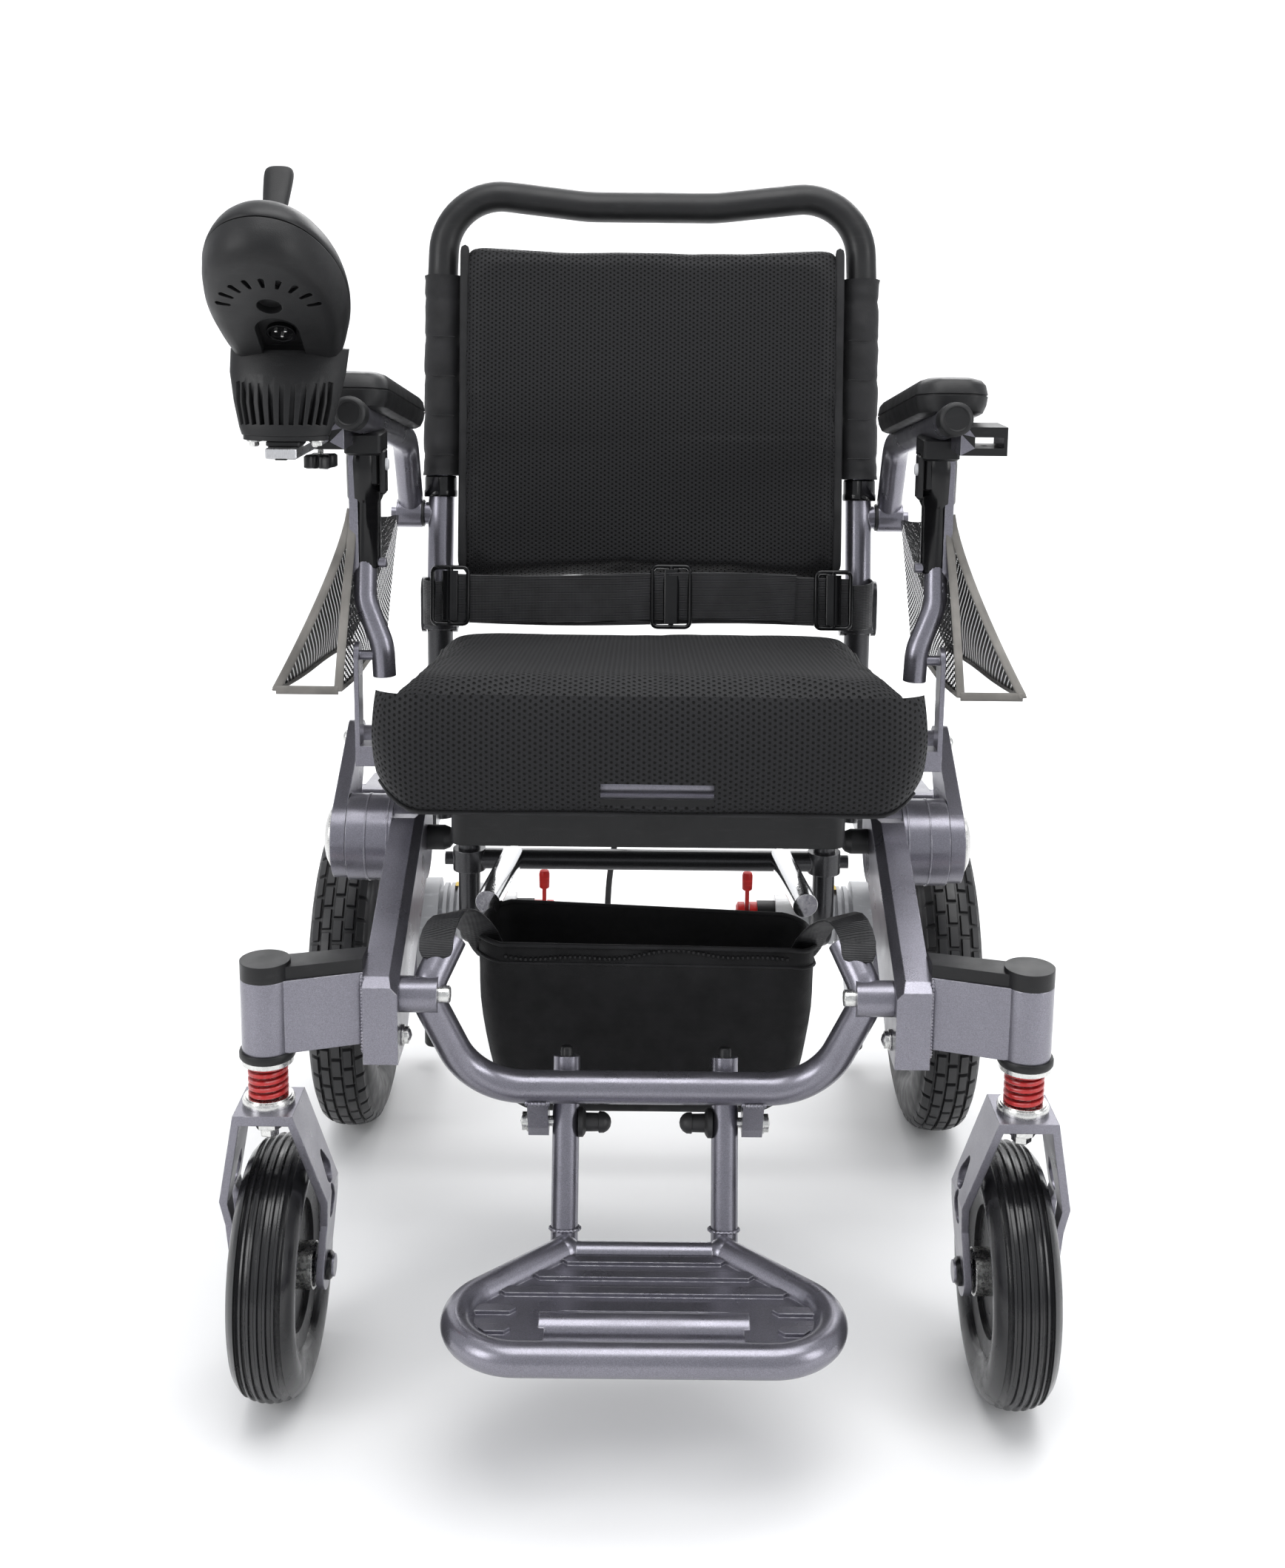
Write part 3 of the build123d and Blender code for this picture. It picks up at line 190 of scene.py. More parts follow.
def lathe(profile, centre, axis=(1, 0, 0), steps=48, closed=False):
    """Profile of (along, radius) turned about an axis through centre."""
    n, side, up = square_to(axis)
    rings = []
    for along, r in profile:
        base = Vector(centre) + n * along
        rings.append([base + side * u + up * v for u, v in ring_of(r, steps)])
    return loft(rings, wrap=closed)


def block(lo, hi, edge=1.2):
    """Box with chamfered edges between two corners."""
    (x0, y0, z0), (x1, y1, z1) = lo, hi
    rings = []
    for z, e in ((z0, edge), (z0 + edge, 0), (z1 - edge, 0), (z1, edge)):
        a, b, c, d = x0 + e, x1 - e, y0 + e, y1 - e
        rings.append([(a + edge, c, z), (b - edge, c, z), (b, c + edge, z), (b, d - edge, z),
                      (b - edge, d, z), (a + edge, d, z), (a, d - edge, z), (a, c + edge, z)])
    return loft(rings)


def moved(shape, matrix):
    """Shape under a 4x4 matrix, in millimetres."""
    return [tuple(matrix @ Vector(v)) for v in shape[0]], shape[1]


def mirrored(shape, s):
    """Shape as drawn for s = 1, or its mirror image in x for s = -1."""
    if s > 0:
        return shape
    return [(-x, y, z) for x, y, z in shape[0]], [tuple(reversed(f)) for f in shape[1]]


# ---- objects ----------------------------------------------------------------
def new_object(name, shape, material=None):
    """A mesh object from a shape, riding on nothing yet."""
    mesh = bpy.data.meshes.new(name)
    mesh.from_pydata([at(*v) for v in shape[0]], [], shape[1])
    tidy_mesh(mesh)
    if material:
        mesh.materials.append(material)
    obj = bpy.data.objects.new(name, mesh)
    bpy.context.scene.collection.objects.link(obj)
    return obj


def make(name, shape, body, material, sharp=38, levels=0, slot=None):
    """A new piece that rides on a CAD body."""
    obj = new_object(name, shape, material)
    shade(obj, sharp)
    if levels:
        add_levels(obj, levels)
    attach(obj, body)
    slot or SLOT_OF[material.name]
    return obj


def evaluated_mesh(obj):
    """Mesh of a piece with its modifiers applied, as new data."""
    graph = bpy.context.evaluated_depsgraph_get()
    return bpy.data.meshes.new_from_object(obj.evaluated_get(graph))


def grid_faces(rows, columns, keep=lambda i, j: True):
    """Quads of a grid of rows by columns, where keep(row, column) holds."""
    wide = columns + 1
    return [(i * wide + j, i * wide + j + 1, (i + 1) * wide + j + 1, (i + 1) * wide + j)
            for i in range(rows) for j in range(columns) if keep(i, j)]


def tidy_mesh(mesh):
    """Consistent outward faces, with nothing loose."""
    bm = bmesh.new()
    bm.from_mesh(mesh)
    bmesh.ops.remove_doubles(bm, verts=bm.verts, dist=1e-6)
    bmesh.ops.recalc_face_normals(bm, faces=bm.faces)
    bm.to_mesh(mesh)
    bm.free()


def shade(obj, sharp):
    """Smooth shading with edges over an angle left sharp."""
    mesh = obj.data
    mesh.polygons.foreach_set("use_smooth", [True] * len(mesh.polygons))
    mesh.set_sharp_from_angle(angle=math.radians(sharp))
    mesh.update()


def add_levels(obj, levels):
    """Subdivision surface on a piece."""
    mod = obj.modifiers.new("smooth", "SUBSURF")
    mod.levels = levels
    mod.render_levels = levels


# ---- material nodes ---------------------------------------------------------
def tone(colour, factor=1.0, extra=0.0):
    """Colour made lighter or darker, with an alpha of 1."""
    return [min(1.0, c * factor + extra) for c in colour] + [1]


class Look:
    """One Principled material and short names for its nodes."""

    def __init__(self, name):
        self.mat = bpy.data.materials.new(name)
        self.mat.use_nodes = True
        self.tree = self.mat.node_tree
        self.shader = self.tree.nodes["Principled BSDF"]
        self.where = self.node("TexCoord").outputs
        self.normal = None

    def node(self, kind, **values):
        made = self.tree.nodes.new("ShaderNode" + kind)
        for key, value in values.items():
            setattr(made, key, value)
        return made

    def put(self, socket, value):
        """Link an output, or set a plain value."""
        if isinstance(value, bpy.types.NodeSocket):
            self.tree.links.new(value, socket)
        else:
            socket.default_value = value

    def set(self, name, value):
        self.put(self.shader.inputs[name], value)

    def calc(self, op, a, b=0.0, c=0.0):
        made = self.node("Math", operation=op)
        for socket, value in zip(made.inputs, (a, b, c)):
            self.put(socket, value)
        return made.outputs[0]

    def noise(self, scale, detail=3.0, stretch=None):
        made = self.node("TexNoise")
        made.inputs["Scale"].default_value = scale
        made.inputs["Detail"].default_value = detail
        vector = self.where["Object"]
        if stretch:
            mapping = self.node("Mapping")
            mapping.inputs["Scale"].default_value = stretch
            self.put(mapping.inputs["Vector"], vector)
            vector = mapping.outputs[0]
        self.put(made.inputs["Vector"], vector)
        return made.outputs[0]

    def cells(self, scale):
        made = self.node("TexVoronoi")
        made.inputs["Scale"].default_value = scale
        self.put(made.inputs["Vector"], self.where["Object"])
        return made.outputs

    def spread(self, value, low, high, to_low, to_high):
        """Value from low..high as to_low..to_high, held at the ends."""
        made = self.node("MapRange")
        for name, v in zip(("Value", "From Min", "From Max", "To Min", "To Max"),
                           (value, low, high, to_low, to_high)):
            self.put(made.inputs[name], v)
        return made.outputs[0]

    def mix(self, share, a, b):
        made = self.node("Mix", data_type="RGBA")
        self.put(made.inputs[0], share)
        self.put(made.inputs[6], a)
        self.put(made.inputs[7], b)
        return made.outputs[2]

    def soften(self, radius):
        """Rounded look on sharp edges."""
        made = self.node("Bevel", samples=4)
        made.inputs["Radius"].default_value = radius
        self.normal = made.outputs[0]
        return self.normal

    def edges(self, radius):
        """0 on flat faces, 1 on sharp edges."""
        made = self.node("Bevel", samples=4)
        made.inputs["Radius"].default_value = radius
        dot = self.node("VectorMath", operation="DOT_PRODUCT")
        self.put(dot.inputs[0], made.outputs[0])
        self.put(dot.inputs[1], self.node("NewGeometry").outputs["Normal"])
        return self.spread(dot.outputs["Value"], 0.985, 0.9, 0.0, 1.0)

    def bump(self, height, strength, distance):
        made = self.node("Bump")
        made.inputs["Strength"].default_value = strength
        made.inputs["Distance"].default_value = distance
        self.put(made.inputs["Height"], height)
        if self.normal:
            self.put(made.inputs["Normal"], self.normal)
        self.normal = made.outputs[0]

    def plane(self):
        """u and v on the coordinate plane that the surface faces."""
        split = self.node("SeparateXYZ")
        self.put(split.inputs[0], self.where["Object"])
        facing = self.node("SeparateXYZ")
        self.put(facing.inputs[0], self.where["Normal"])
        x, y, z = split.outputs
        ax, ay, az = [self.calc("ABSOLUTE", o) for o in facing.outputs]
        is_x = self.calc("GREATER_THAN", ax, self.calc("MAXIMUM", ay, az))
        is_z = self.calc("GREATER_THAN", az, self.calc("MAXIMUM", ax, ay))
        u = self.calc("MULTIPLY_ADD", self.calc("SUBTRACT", y, x), is_x, x)
        v = self.calc("MULTIPLY_ADD", self.calc("SUBTRACT", y, z), is_z, z)
        return u, v

    def hexagons(self, u, v, pitch):
        """Hexagonal lattice, from -1.5 to 3 at each cell's middle."""
        k = 2 * math.pi / (pitch * 0.866)
        total = self.calc("COSINE", self.calc("MULTIPLY", u, k))
        lean = self.calc("MULTIPLY", v, k * 0.866)
        for sign in (1, -1):
            wave = self.calc("MULTIPLY_ADD", u, k / 2 * sign, lean)
            total = self.calc("ADD", total, self.calc("COSINE", wave))
        return total

    def done(self):
        if self.normal:
            self.put(self.shader.inputs["Normal"], self.normal)
        return self.mat


def metallic_paint(name, colour, rough=0.3, flake=0.16, metal=0.85):
    """Powder or lacquer paint with fine flakes, worn lighter on its edges."""
    k = Look(name)
    k.soften(0.0012)
    cells = k.cells(2600.0)
    grey = k.node("SeparateColor")
    k.put(grey.inputs[0], cells["Color"])
    flaked = k.mix(grey.outputs[0], tone(colour, 1 - flake), tone(colour, 1 + flake * 1.6))
    cloud = k.spread(k.noise(14.0), 0.35, 0.65, 0.0, 0.10)
    clouded = k.mix(cloud, flaked, tone(colour, 0.6))
    rub = k.calc("MULTIPLY", k.edges(0.0016), k.spread(k.noise(160.0), 0.45, 0.62, 0.0, 0.5))
    k.set("Base Color", k.mix(rub, clouded, (0.5, 0.5, 0.52, 1)))
    k.set("Metallic", metal)
    k.set("Roughness", k.spread(k.noise(35.0), 0.3, 0.7, rough - 0.05, rough + 0.07))
    k.set("Coat Weight", 0.25)
    k.set("Coat Roughness", 0.12)
    k.bump(k.noise(900.0, 2.0), 0.05, 0.0004)
    return k.done()


def moulded(name, colour, rough=0.45, grain=0.25, scale=1400.0):
    """Moulded plastic with a fine grain and faint scuffs."""
    k = Look(name)
    k.soften(0.0008)
    scuff = k.spread(k.noise(60.0, 6.0, (1, 1, 5)), 0.58, 0.72, 0.0, 0.35)
    k.set("Base Color", k.mix(scuff, tone(colour), tone(colour, 1.8, 0.006)))
    k.set("Roughness", k.spread(k.noise(45.0), 0.3, 0.7, rough - 0.06, rough + 0.08))
    k.set("Specular IOR Level", 0.34)
    k.bump(k.noise(scale, 2.0), grain, 0.0003)
    return k.done()


def bare_metal(name, colour, rough=0.25, brushed=(1, 1, 1), spangle=0.2):
    """Plated or brushed metal."""
    k = Look(name)
    k.soften(0.0006)
    streak = k.noise(420.0, 4.0, brushed)
    k.set("Base Color", k.mix(k.spread(streak, 0.35, 0.65, 0, 1), tone(colour, 1 - spangle), tone(colour)))
    k.set("Metallic", 1.0)
    k.set("Roughness", k.spread(streak, 0.3, 0.7, rough - 0.04, rough + 0.1))
    k.bump(streak, 0.06, 0.0003)
    return k.done()


def rubber(name, colour, rough=0.5, dust=0.25):
    """Rubber with patches of dust and a fine pitted skin."""
    k = Look(name)
    k.soften(0.0006)
    patch = k.spread(k.noise(26.0, 5.0), 0.45, 0.75, 0.0, dust)
    k.set("Base Color", k.mix(patch, tone(colour), (0.05, 0.048, 0.045, 1)))
    k.set("Roughness", k.spread(k.noise(70.0), 0.3, 0.7, rough - 0.07, rough + 0.12))
    k.bump(k.noise(1100.0, 2.0), 0.2, 0.0003)
    return k.done()


def air_mesh(name, pitch):
    """Black spacer fabric with a hexagonal hole pattern; the holes carry painted shade."""
    k, colour = Look(name), (0.0045, 0.0045, 0.005)
    u, v = k.plane()
    hexes = k.hexagons(u, v, pitch)
    hole = k.spread(hexes, 0.2, 2.2, 0.0, 1.0)
    fuzz = k.spread(k.noise(700.0, 2.0), 0.3, 0.7, 0.75, 1.3)
    thread = k.mix(fuzz, tone(colour, 0.8), tone(colour, 2.4))
    # painted shade: the holes are real (bump, roughness) but are coloured darker than the thread
    k.set("Base Color", k.mix(hole, thread, (0.002, 0.002, 0.002, 1)))
    k.set("Roughness", k.spread(hole, 0, 1, 0.62, 0.95))
    k.set("Sheen Weight", 0.03)
    k.set("Sheen Roughness", 0.5)
    k.set("Specular IOR Level", 0.22)
    k.bump(k.calc("MULTIPLY", hole, -1.0), 0.9, pitch * 0.4)
    return k.done()


def woven(name, colour, thread=0.0011, rough=0.7, sheen=0.1, crease=0.3):
    """Plain-woven cloth with soft creases."""
    k = Look(name)
    u, v = k.plane()
    turn = 2 * math.pi / thread
    weft = k.calc("SINE", k.calc("MULTIPLY", u, turn))
    warp = k.calc("SINE", k.calc("MULTIPLY", v, turn))
    weave = k.calc("MULTIPLY", weft, warp)
    fade = k.spread(k.noise(30.0, 5.0), 0.35, 0.7, 0.0, 1.0)
    faded = k.mix(fade, tone(colour, 0.75), tone(colour, 1.5))
    k.set("Base Color", k.mix(k.spread(weave, -1, 1, 0, 0.4), faded, tone(colour, 0.4)))
    k.set("Roughness", k.spread(k.noise(55.0), 0.3, 0.7, rough - 0.12, rough + 0.1))
    k.set("Sheen Weight", sheen)
    k.set("Specular IOR Level", 0.3)
    k.bump(k.noise(38.0, 4.0), crease, 0.004)
    k.bump(weave, 0.35, thread * 0.3)
    return k.done()


def ribbed_webbing(name, colour):
    """Webbing with fine ribs across it."""
    k, pitch = Look(name), 0.0016
    u, v = k.plane()
    rib = k.calc("SINE", k.calc("MULTIPLY", v, 2 * math.pi / pitch))
    cross = k.calc("SINE", k.calc("MULTIPLY", u, math.pi / pitch))
    weave = k.calc("MULTIPLY_ADD", cross, 0.35, rib)
    blot = k.spread(k.noise(40.0, 4.0), 0.4, 0.65, 0.0, 1.0)
    k.set("Base Color", k.mix(blot, tone(colour), tone(colour, 2.1)))
    k.set("Roughness", k.spread(k.noise(60.0), 0.3, 0.7, 0.38, 0.62))
    k.bump(weave, 0.45, pitch * 0.25)
    return k.done()


def netting(name, colour, pitch, cover):
    """Open net: threads round see-through holes; a higher cover leaves smaller holes."""
    k = Look(name)
    u, v = k.plane()
    hexes = k.hexagons(u, v, pitch)
    k.set("Base Color", tone(colour))
    k.set("Roughness", 0.7)
    k.set("Alpha", k.calc("LESS_THAN", hexes, cover))
    k.bump(hexes, 0.4, pitch * 0.3)
    return k.done()


silver = metallic_paint("silver_paint", (0.205, 0.20, 0.232), 0.30)
gunmetal = metallic_paint("dark_paint", (0.035, 0.035, 0.038), 0.32, 0.3, 0.55)
zinc = bare_metal("zinc_plate", (0.72, 0.72, 0.70), 0.24)
nickel = bare_metal("satin_nickel", (0.66, 0.655, 0.64), 0.27, (1, 1, 6))
chrome = bare_metal("chrome", (0.80, 0.80, 0.81), 0.09, (1, 1, 1), 0.05)
satin_black = moulded("satin_black", (0.007, 0.007, 0.0075), 0.40)
gloss_black = moulded("gloss_black", (0.004, 0.004, 0.0045), 0.14, 0.05)
matte_black = moulded("matte_black", (0.0065, 0.0065, 0.007), 0.46, 0.35)
grip_black = moulded("grip_black", (0.008, 0.008, 0.0085), 0.40, 0.3, 900.0)
red_enamel = metallic_paint("red_spring", (0.42, 0.012, 0.012), 0.3, 0.1, 0.25)
red_moulded = moulded("red_plastic", (0.50, 0.015, 0.012), 0.35)
motor_grey = moulded("motor_grey", (0.52, 0.525, 0.54), 0.38, 0.1)
label_yellow = moulded("label_yellow", (0.75, 0.52, 0.05), 0.4, 0.05)
white_plate = metallic_paint("white_plate", (0.66, 0.66, 0.66), 0.36, 0.06, 0.3)
rubber_black = rubber("rubber_black", (0.014, 0.014, 0.015), 0.46)
caster_rubber = rubber("caster_rubber", (0.010, 0.010, 0.011), 0.2, 0.06)
drive_rubber = rubber("drive_rubber", (0.012, 0.012, 0.013), 0.42, 0.3)
rim_black = moulded("rim_black", (0.012, 0.012, 0.013), 0.3, 0.15)
seat_mesh = air_mesh("seat_mesh", 0.0046)
back_mesh = air_mesh("back_mesh", 0.0042)
bag_nylon = woven("bag_nylon", (0.0035, 0.0035, 0.004), 0.0012, 0.66, 0.03)
cordura = woven("cordura", (0.008, 0.008, 0.009), 0.0013, 0.55, 0.05, 0.35)
belt_webbing = ribbed_webbing("belt_webbing", (0.008, 0.008, 0.009))
piping_cloth = woven("piping_cloth", (0.009, 0.009, 0.010), 0.001, 0.6, 0.04, 0.1)
binding_grey = woven("binding_grey", (0.20, 0.19, 0.175), 0.001, 0.8, 0.2, 0.1)
net_open = netting("side_net_open", (0.006, 0.006, 0.0065), 0.0052, 1.0)
net_dense = netting("side_net_dense", (0.007, 0.007, 0.0075), 0.0046, 2.2)
battery_case = moulded("battery_case", (0.02, 0.02, 0.022), 0.4)
bright_rail = bare_metal("bright_rail", (0.70, 0.70, 0.71), 0.3, (6, 1, 1))

FINISH = {
    "frame_paint": silver, "dark_paint": gunmetal, "zinc": zinc, "nickel": nickel,
    "polished": chrome, "black_plastic": satin_black, "gloss_black": gloss_black,
    "red_spring": red_enamel, "red_plastic": red_moulded, "motor_grey": motor_grey,
    "white_plate": white_plate, "rubber_black": rubber_black, "tyre_black": drive_rubber,
    "rim_black": rim_black, "mesh_fabric": back_mesh, "bag_fabric": bag_nylon,
    "webbing": belt_webbing, "battery": battery_case,
}
SLOT_OF = {look.name: slot for slot, look in FINISH.items()}
SLOT_OF.update(matte_black="black_plastic", grip_black="black_plastic", seat_mesh="mesh_fabric",
               cordura="mesh_fabric", piping_cloth="mesh_fabric", side_net_open="mesh_fabric",
               side_net_dense="mesh_fabric", binding_grey="webbing", caster_rubber="tyre_black",
               label_yellow="red_plastic", bright_rail="zinc")


def finish_cad_nodes():
    """Every CAD node takes the finish of its material slot."""
    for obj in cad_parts.values():
        for place in obj.material_slots:
            place.material = FINISH[place.material.name.split(".")[0]]


def repaint(node, material, test):
    """Faces of a CAD node whose middle, in the CAD's millimetres, passes a test."""
    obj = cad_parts[node]
    obj.data.materials.append(material)
    index = len(obj.data.materials) - 1
    for face in obj.data.polygons:
        x, y, z = face.center
        if test(abs(x) / MM, y / MM - Y_SHIFT, z / MM):
            face.material_index = index


# ---- casters ----------------------------------------------------------------
def caster_tyre_shape(s):
    """Grooved ribbed tyre on the caster rim."""
    r, seat, h = CASTER_D / 2, CASTER_RIM_D / 2, CASTER_W / 2
    profile = [(-h * 0.72, seat), (-h * 0.9, seat + 5), (-h, r - 21), (-h, r - 16),
               (-h + 1.5, r - 11), (-19.5, r - 6.2)]
    groove, crown = 2.4, 0.014
    for x in (-15, -9, -3, 3, 9, 15):
        for dx, depth in ((-2.2, 0), (-1.3, groove), (1.3, groove), (2.2, 0)):
            profile.append((x + dx, r - crown * (x + dx) ** 2 - depth))
    profile += [(19.5, r - 6.2), (h - 1.5, r - 11), (h, r - 16), (h, r - 21),
                (h * 0.9, seat + 5), (h * 0.72, seat)]
    return lathe(profile, (s * CASTER_X, 0, AXLE_Z), steps=96, closed=True)


def spring_shape(s):
    """Flat-wire spring with closed ends."""
    x, turns, per_turn = s * CASTER_X, 5.2, 28
    count = int(turns * per_turn)
    low, high, half, flat = SPRING_LOW + 1.7, SPRING_HIGH - 1.7, 1.65, 4.6
    rings = []
    for k in range(count + 1):
        share = k / count
        run = min(1.0, max(0.0, (share - 0.1) / 0.8))
        z = low + (high - low) * run
        a = 2 * math.pi * turns * share
        out = Vector((math.cos(a), math.sin(a), 0))
        core = Vector((x, STEM_Y, z)) + out * (SPRING_D / 2 - flat / 2 - 0.2)
        e = 0.5
        section = [(-flat / 2, -half + e), (-flat / 2, half - e), (-flat / 2 + e, half),
                   (flat / 2 - e, half), (flat / 2, half - e), (flat / 2, -half + e),
                   (flat / 2 - e, -half), (-flat / 2 + e, -half)]
        rings.append([core + out * u + Vector((0, 0, v)) for u, v in section])
    return loft(rings)


def build_casters():
    """Tyres, springs and small hardware of both casters."""
    for side, s in SIDES:
        tyre = make(f"caster_tyre_{side}_grooved", caster_tyre_shape(s), f"caster_wheel_{side}",
                    caster_rubber, 50)
        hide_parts(f"caster_tyre_{side}")
        wire = new_object(f"caster_spring_{side}_wire", spring_shape(s), red_enamel)
        shade(wire, 40)
        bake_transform(wire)
        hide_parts(f"caster_spring_{side}")
        caps = [lathe([(0, 11), (2.5, 11), (4, 9.5), (4.6, 6), (4.6, 0.5)],
                      (s * (CASTER_X + way * CASTER_CAP_X), 0, AXLE_Z), (s * way, 0, 0), 24)
                for way in (1, -1)]
        make(f"caster_axle_caps_{side}", join(*caps), f"caster_swivel_{side}", gloss_black)
        bearing = lathe([(-27, 9), (-27, 16), (-25.5, 18), (25.5, 18), (27, 16), (27, 9)],
                        (s * CASTER_X, 0, AXLE_Z), steps=32, closed=True)
        make(f"caster_bearing_{side}", bearing, f"caster_wheel_{side}", zinc)


# ---- rear wheels and drive --------------------------------------------------
def drive_tyre_shape(s):
    """Tyre with staggered tread blocks."""
    r, seat, h, pitches = REAR_D / 2, REAR_RIM_D / 2, REAR_W / 2, 44
    wall = [(-h * 0.72, seat), (-h * 0.9, seat + 7), (-h, seat + 18), (-h, seat + 27),
            (-h + 1.2, seat + 34)]
    groove, across, rows = 3.4, [], (-25.5, -16.0, -5.5, 5.5, 16.0, 25.5)
    for b in rows:
        across += [b - 1.7, b - 0.9, b + 0.9, b + 1.7]
    for a, b in zip(rows, rows[1:]):
        across.append((a + b) / 2)
    across.sort()
    steps = []
    for k in range(pitches):
        steps += [k + f for f in (0, 0.06, 0.10, 0.25, 0.40, 0.44, 0.5, 0.56, 0.60, 0.75, 0.90, 0.94)]
    rings = []
    for t in steps:
        a = 2 * math.pi * t / pitches
        section = list(wall)
        for x in across:
            crown = r - 0.0052 * x * x - 0.0000135 * x ** 4
            row = sum(1 for b in rows if x > b)
            phase = (t + 0.5 * (row % 2)) % 1.0
            in_row = min(abs(x - b) for b in rows) > 1.3 and 0 < row < 6
            in_block = 0.08 < phase < 0.92
            section.append((x, crown - (0 if in_row and in_block else groove)))
        section += [(-x, z) for x, z in reversed(wall)]
        rings.append([(s * REAR_X + x, REAR_Y + z * math.cos(a), REAR_Z + z * math.sin(a))
                      for x, z in section])
    return loft(rings, wrap=True)


def build_drive():
    """Drive tyres, rim details and the motors' fittings."""
    for side, s in SIDES:
        tyre = make(f"rear_tyre_{side}_lugged", drive_tyre_shape(s), f"rear_wheel_{side}", drive_rubber, 30)
        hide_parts(f"rear_tyre_{side}")
        ring = lathe([(27.5, 101), (29.3, 103.5), (29.3, 106.5), (27.5, 108), (26, 106), (26, 101)],
                     (s * REAR_X, REAR_Y, REAR_Z), (s, 0, 0), 72, closed=True)
        cap = lathe([(24, 15), (28, 15), (29, 12), (29.4, 6), (29.4, 0.5)],
                    (s * REAR_X, REAR_Y, REAR_Z), (s, 0, 0), 32)
        make(f"rear_rim_edge_{side}", join(ring, cap), f"rear_wheel_{side}", satin_black, slot="rim_black")
        repaint(f"gear_motor_{side}", white_plate, lambda x, y, z: MOTOR_BRAKE_X < x < MOTOR_PLATE_X)
        repaint(f"gear_motor_{side}", matte_black, lambda x, y, z: MOTOR_END_X < x <= MOTOR_BRAKE_X)
        repaint(f"gear_motor_{side}", red_moulded, lambda x, y, z: x <= MOTOR_END_X)
        plate = lathe([(171, 29.3), (191, 29.3), (191, 29.6), (171, 29.6)],
                      (0, MOTOR_Y, MOTOR_Z), (s, 0, 0), 64, closed=True)
        ring, quads = plate
        seen = [f for f in quads if all(ring[i][1] > MOTOR_Y - 6 and ring[i][2] > MOTOR_Z - 24 for i in f)]
        make(f"motor_label_{side}", (ring, seen), "rear_frame", label_yellow)
        grip = lathe([(0, 4.4), (1, 5.2), (15, 5.4), (18, 4.4), (19, 2.5), (19.4, 0.4)],
                     (s * 102, MOTOR_Y, MOTOR_Z + 26), (0, 0, 1), 20)
        make(f"clutch_grip_{side}", grip, f"clutch_{side}", red_moulded)


# ---- padded pieces ----------------------------------------------------------
def puff(obj, cap, settle, give=(1, 1, 1)):
    """Inflate a closed piece as cloth; no point moves further than cap.

    give is the share of the movement that is kept along each axis, and settle(point)
    gives each point its last place.
    """
    remesh = obj.modifiers.new("remesh", "REMESH")
    remesh.mode = "VOXEL"
    remesh.voxel_size = CLOTH_VOXEL
    even = evaluated_mesh(obj)
    even.materials.clear()
    even.materials.append(obj.data.materials[0])
    obj.modifiers.clear()
    obj.data = even
    rest = [v.co.copy() for v in even.vertices]
    cloth = obj.modifiers.new("cloth", "CLOTH")
    cloth.settings.use_pressure = True
    cloth.settings.uniform_pressure_force = CLOTH_PRESSURE
    cloth.settings.effector_weights.gravity = 0.0
    cloth.settings.quality = 5
    cloth.point_cache.frame_end = CLOTH_FRAMES
    scene = bpy.context.scene
    for number in range(1, CLOTH_FRAMES + 1):
        scene.frame_set(number)
    graph = bpy.context.evaluated_depsgraph_get()
    swollen = obj.evaluated_get(graph).data
    ends = [v.co.copy() for v in swollen.vertices]
    obj.modifiers.clear()
    scene.frame_set(1)
    for v, a, b in zip(even.vertices, rest, ends):
        way = (b - a) * Vector(give)
        v.co = a + way * min(1.0, cap / max(way.length, 1e-9))
    for v in even.vertices:
        v.co = settle(v.co)
    shade(obj, 180)
    add_levels(obj, 1)


def outline(half_x, y0, y1, corner, steps=6):
    """Rounded rectangle in plan."""
    points = []
    for cx, cy, start in ((half_x - corner, y0 + corner, -90), (half_x - corner, y1 - corner, 0),
                          (corner - half_x, y1 - corner, 90), (corner - half_x, y0 + corner, 180)):
        for k in range(steps + 1):
            a = math.radians(start + 90 * k / steps)
            points.append((cx + corner * math.cos(a), cy + corner * math.sin(a)))
    return points


def seat_cushion():
    """Seat cushion: crowned top, boxed sides with a welted upper seam."""
    rings = []
    for share, pull in ((0.0, 10), (0.05, 5), (0.14, 3), (0.5, 5), (0.86, 1), (0.95, 3), (1.0, 9)):
        edge = SEAT_INSET + pull
        flat = outline(SEAT_HALF - edge, edge, SEAT_DEPTH - edge, CORNER_R)
        rings.append([(x, y, seat_top(y) - CUSHION_T + 3 + (CUSHION_T - 9) * share) for x, y in flat])
    obj = new_object("seat_cushion_padded", loft(rings), seat_mesh)

    def settle(p):
        """Flat underside, crowned top, and a hollow at the middle of the front edge."""
        y = p.y / MM - Y_SHIFT
        low = (seat_top(y) - CUSHION_T + 0.6) * MM
        x = p.x / MM
        dip = 15 * math.exp(-(x / 74) ** 4) * max(0.0, 1 - max(0.0, y - 6) / 40)
        if p.z < low + dip * MM:
            p.z = low + dip * MM
        crease = noise.noise(Vector((p.x * 9, p.y * 9, 3.3))) * 1.3
        p.z += crease * MM if p.z > low + 0.03 else 0.0
        return p

    puff(obj, 0.011, settle)
    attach(obj, "rear_frame")
    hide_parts("seat_cushion")
    drop, size = 7.0, 2.1
    loose = outline(SEAT_HALF + 12, -14, SEAT_DEPTH + 14, CORNER_R + 18, 10)
    line = [(x, y, seat_top(min(max(y, 0), SEAT_DEPTH)) - drop) for x, y in loose]
    make("seat_cushion_welts", hugging(obj, line, size), "rear_frame", piping_cloth)


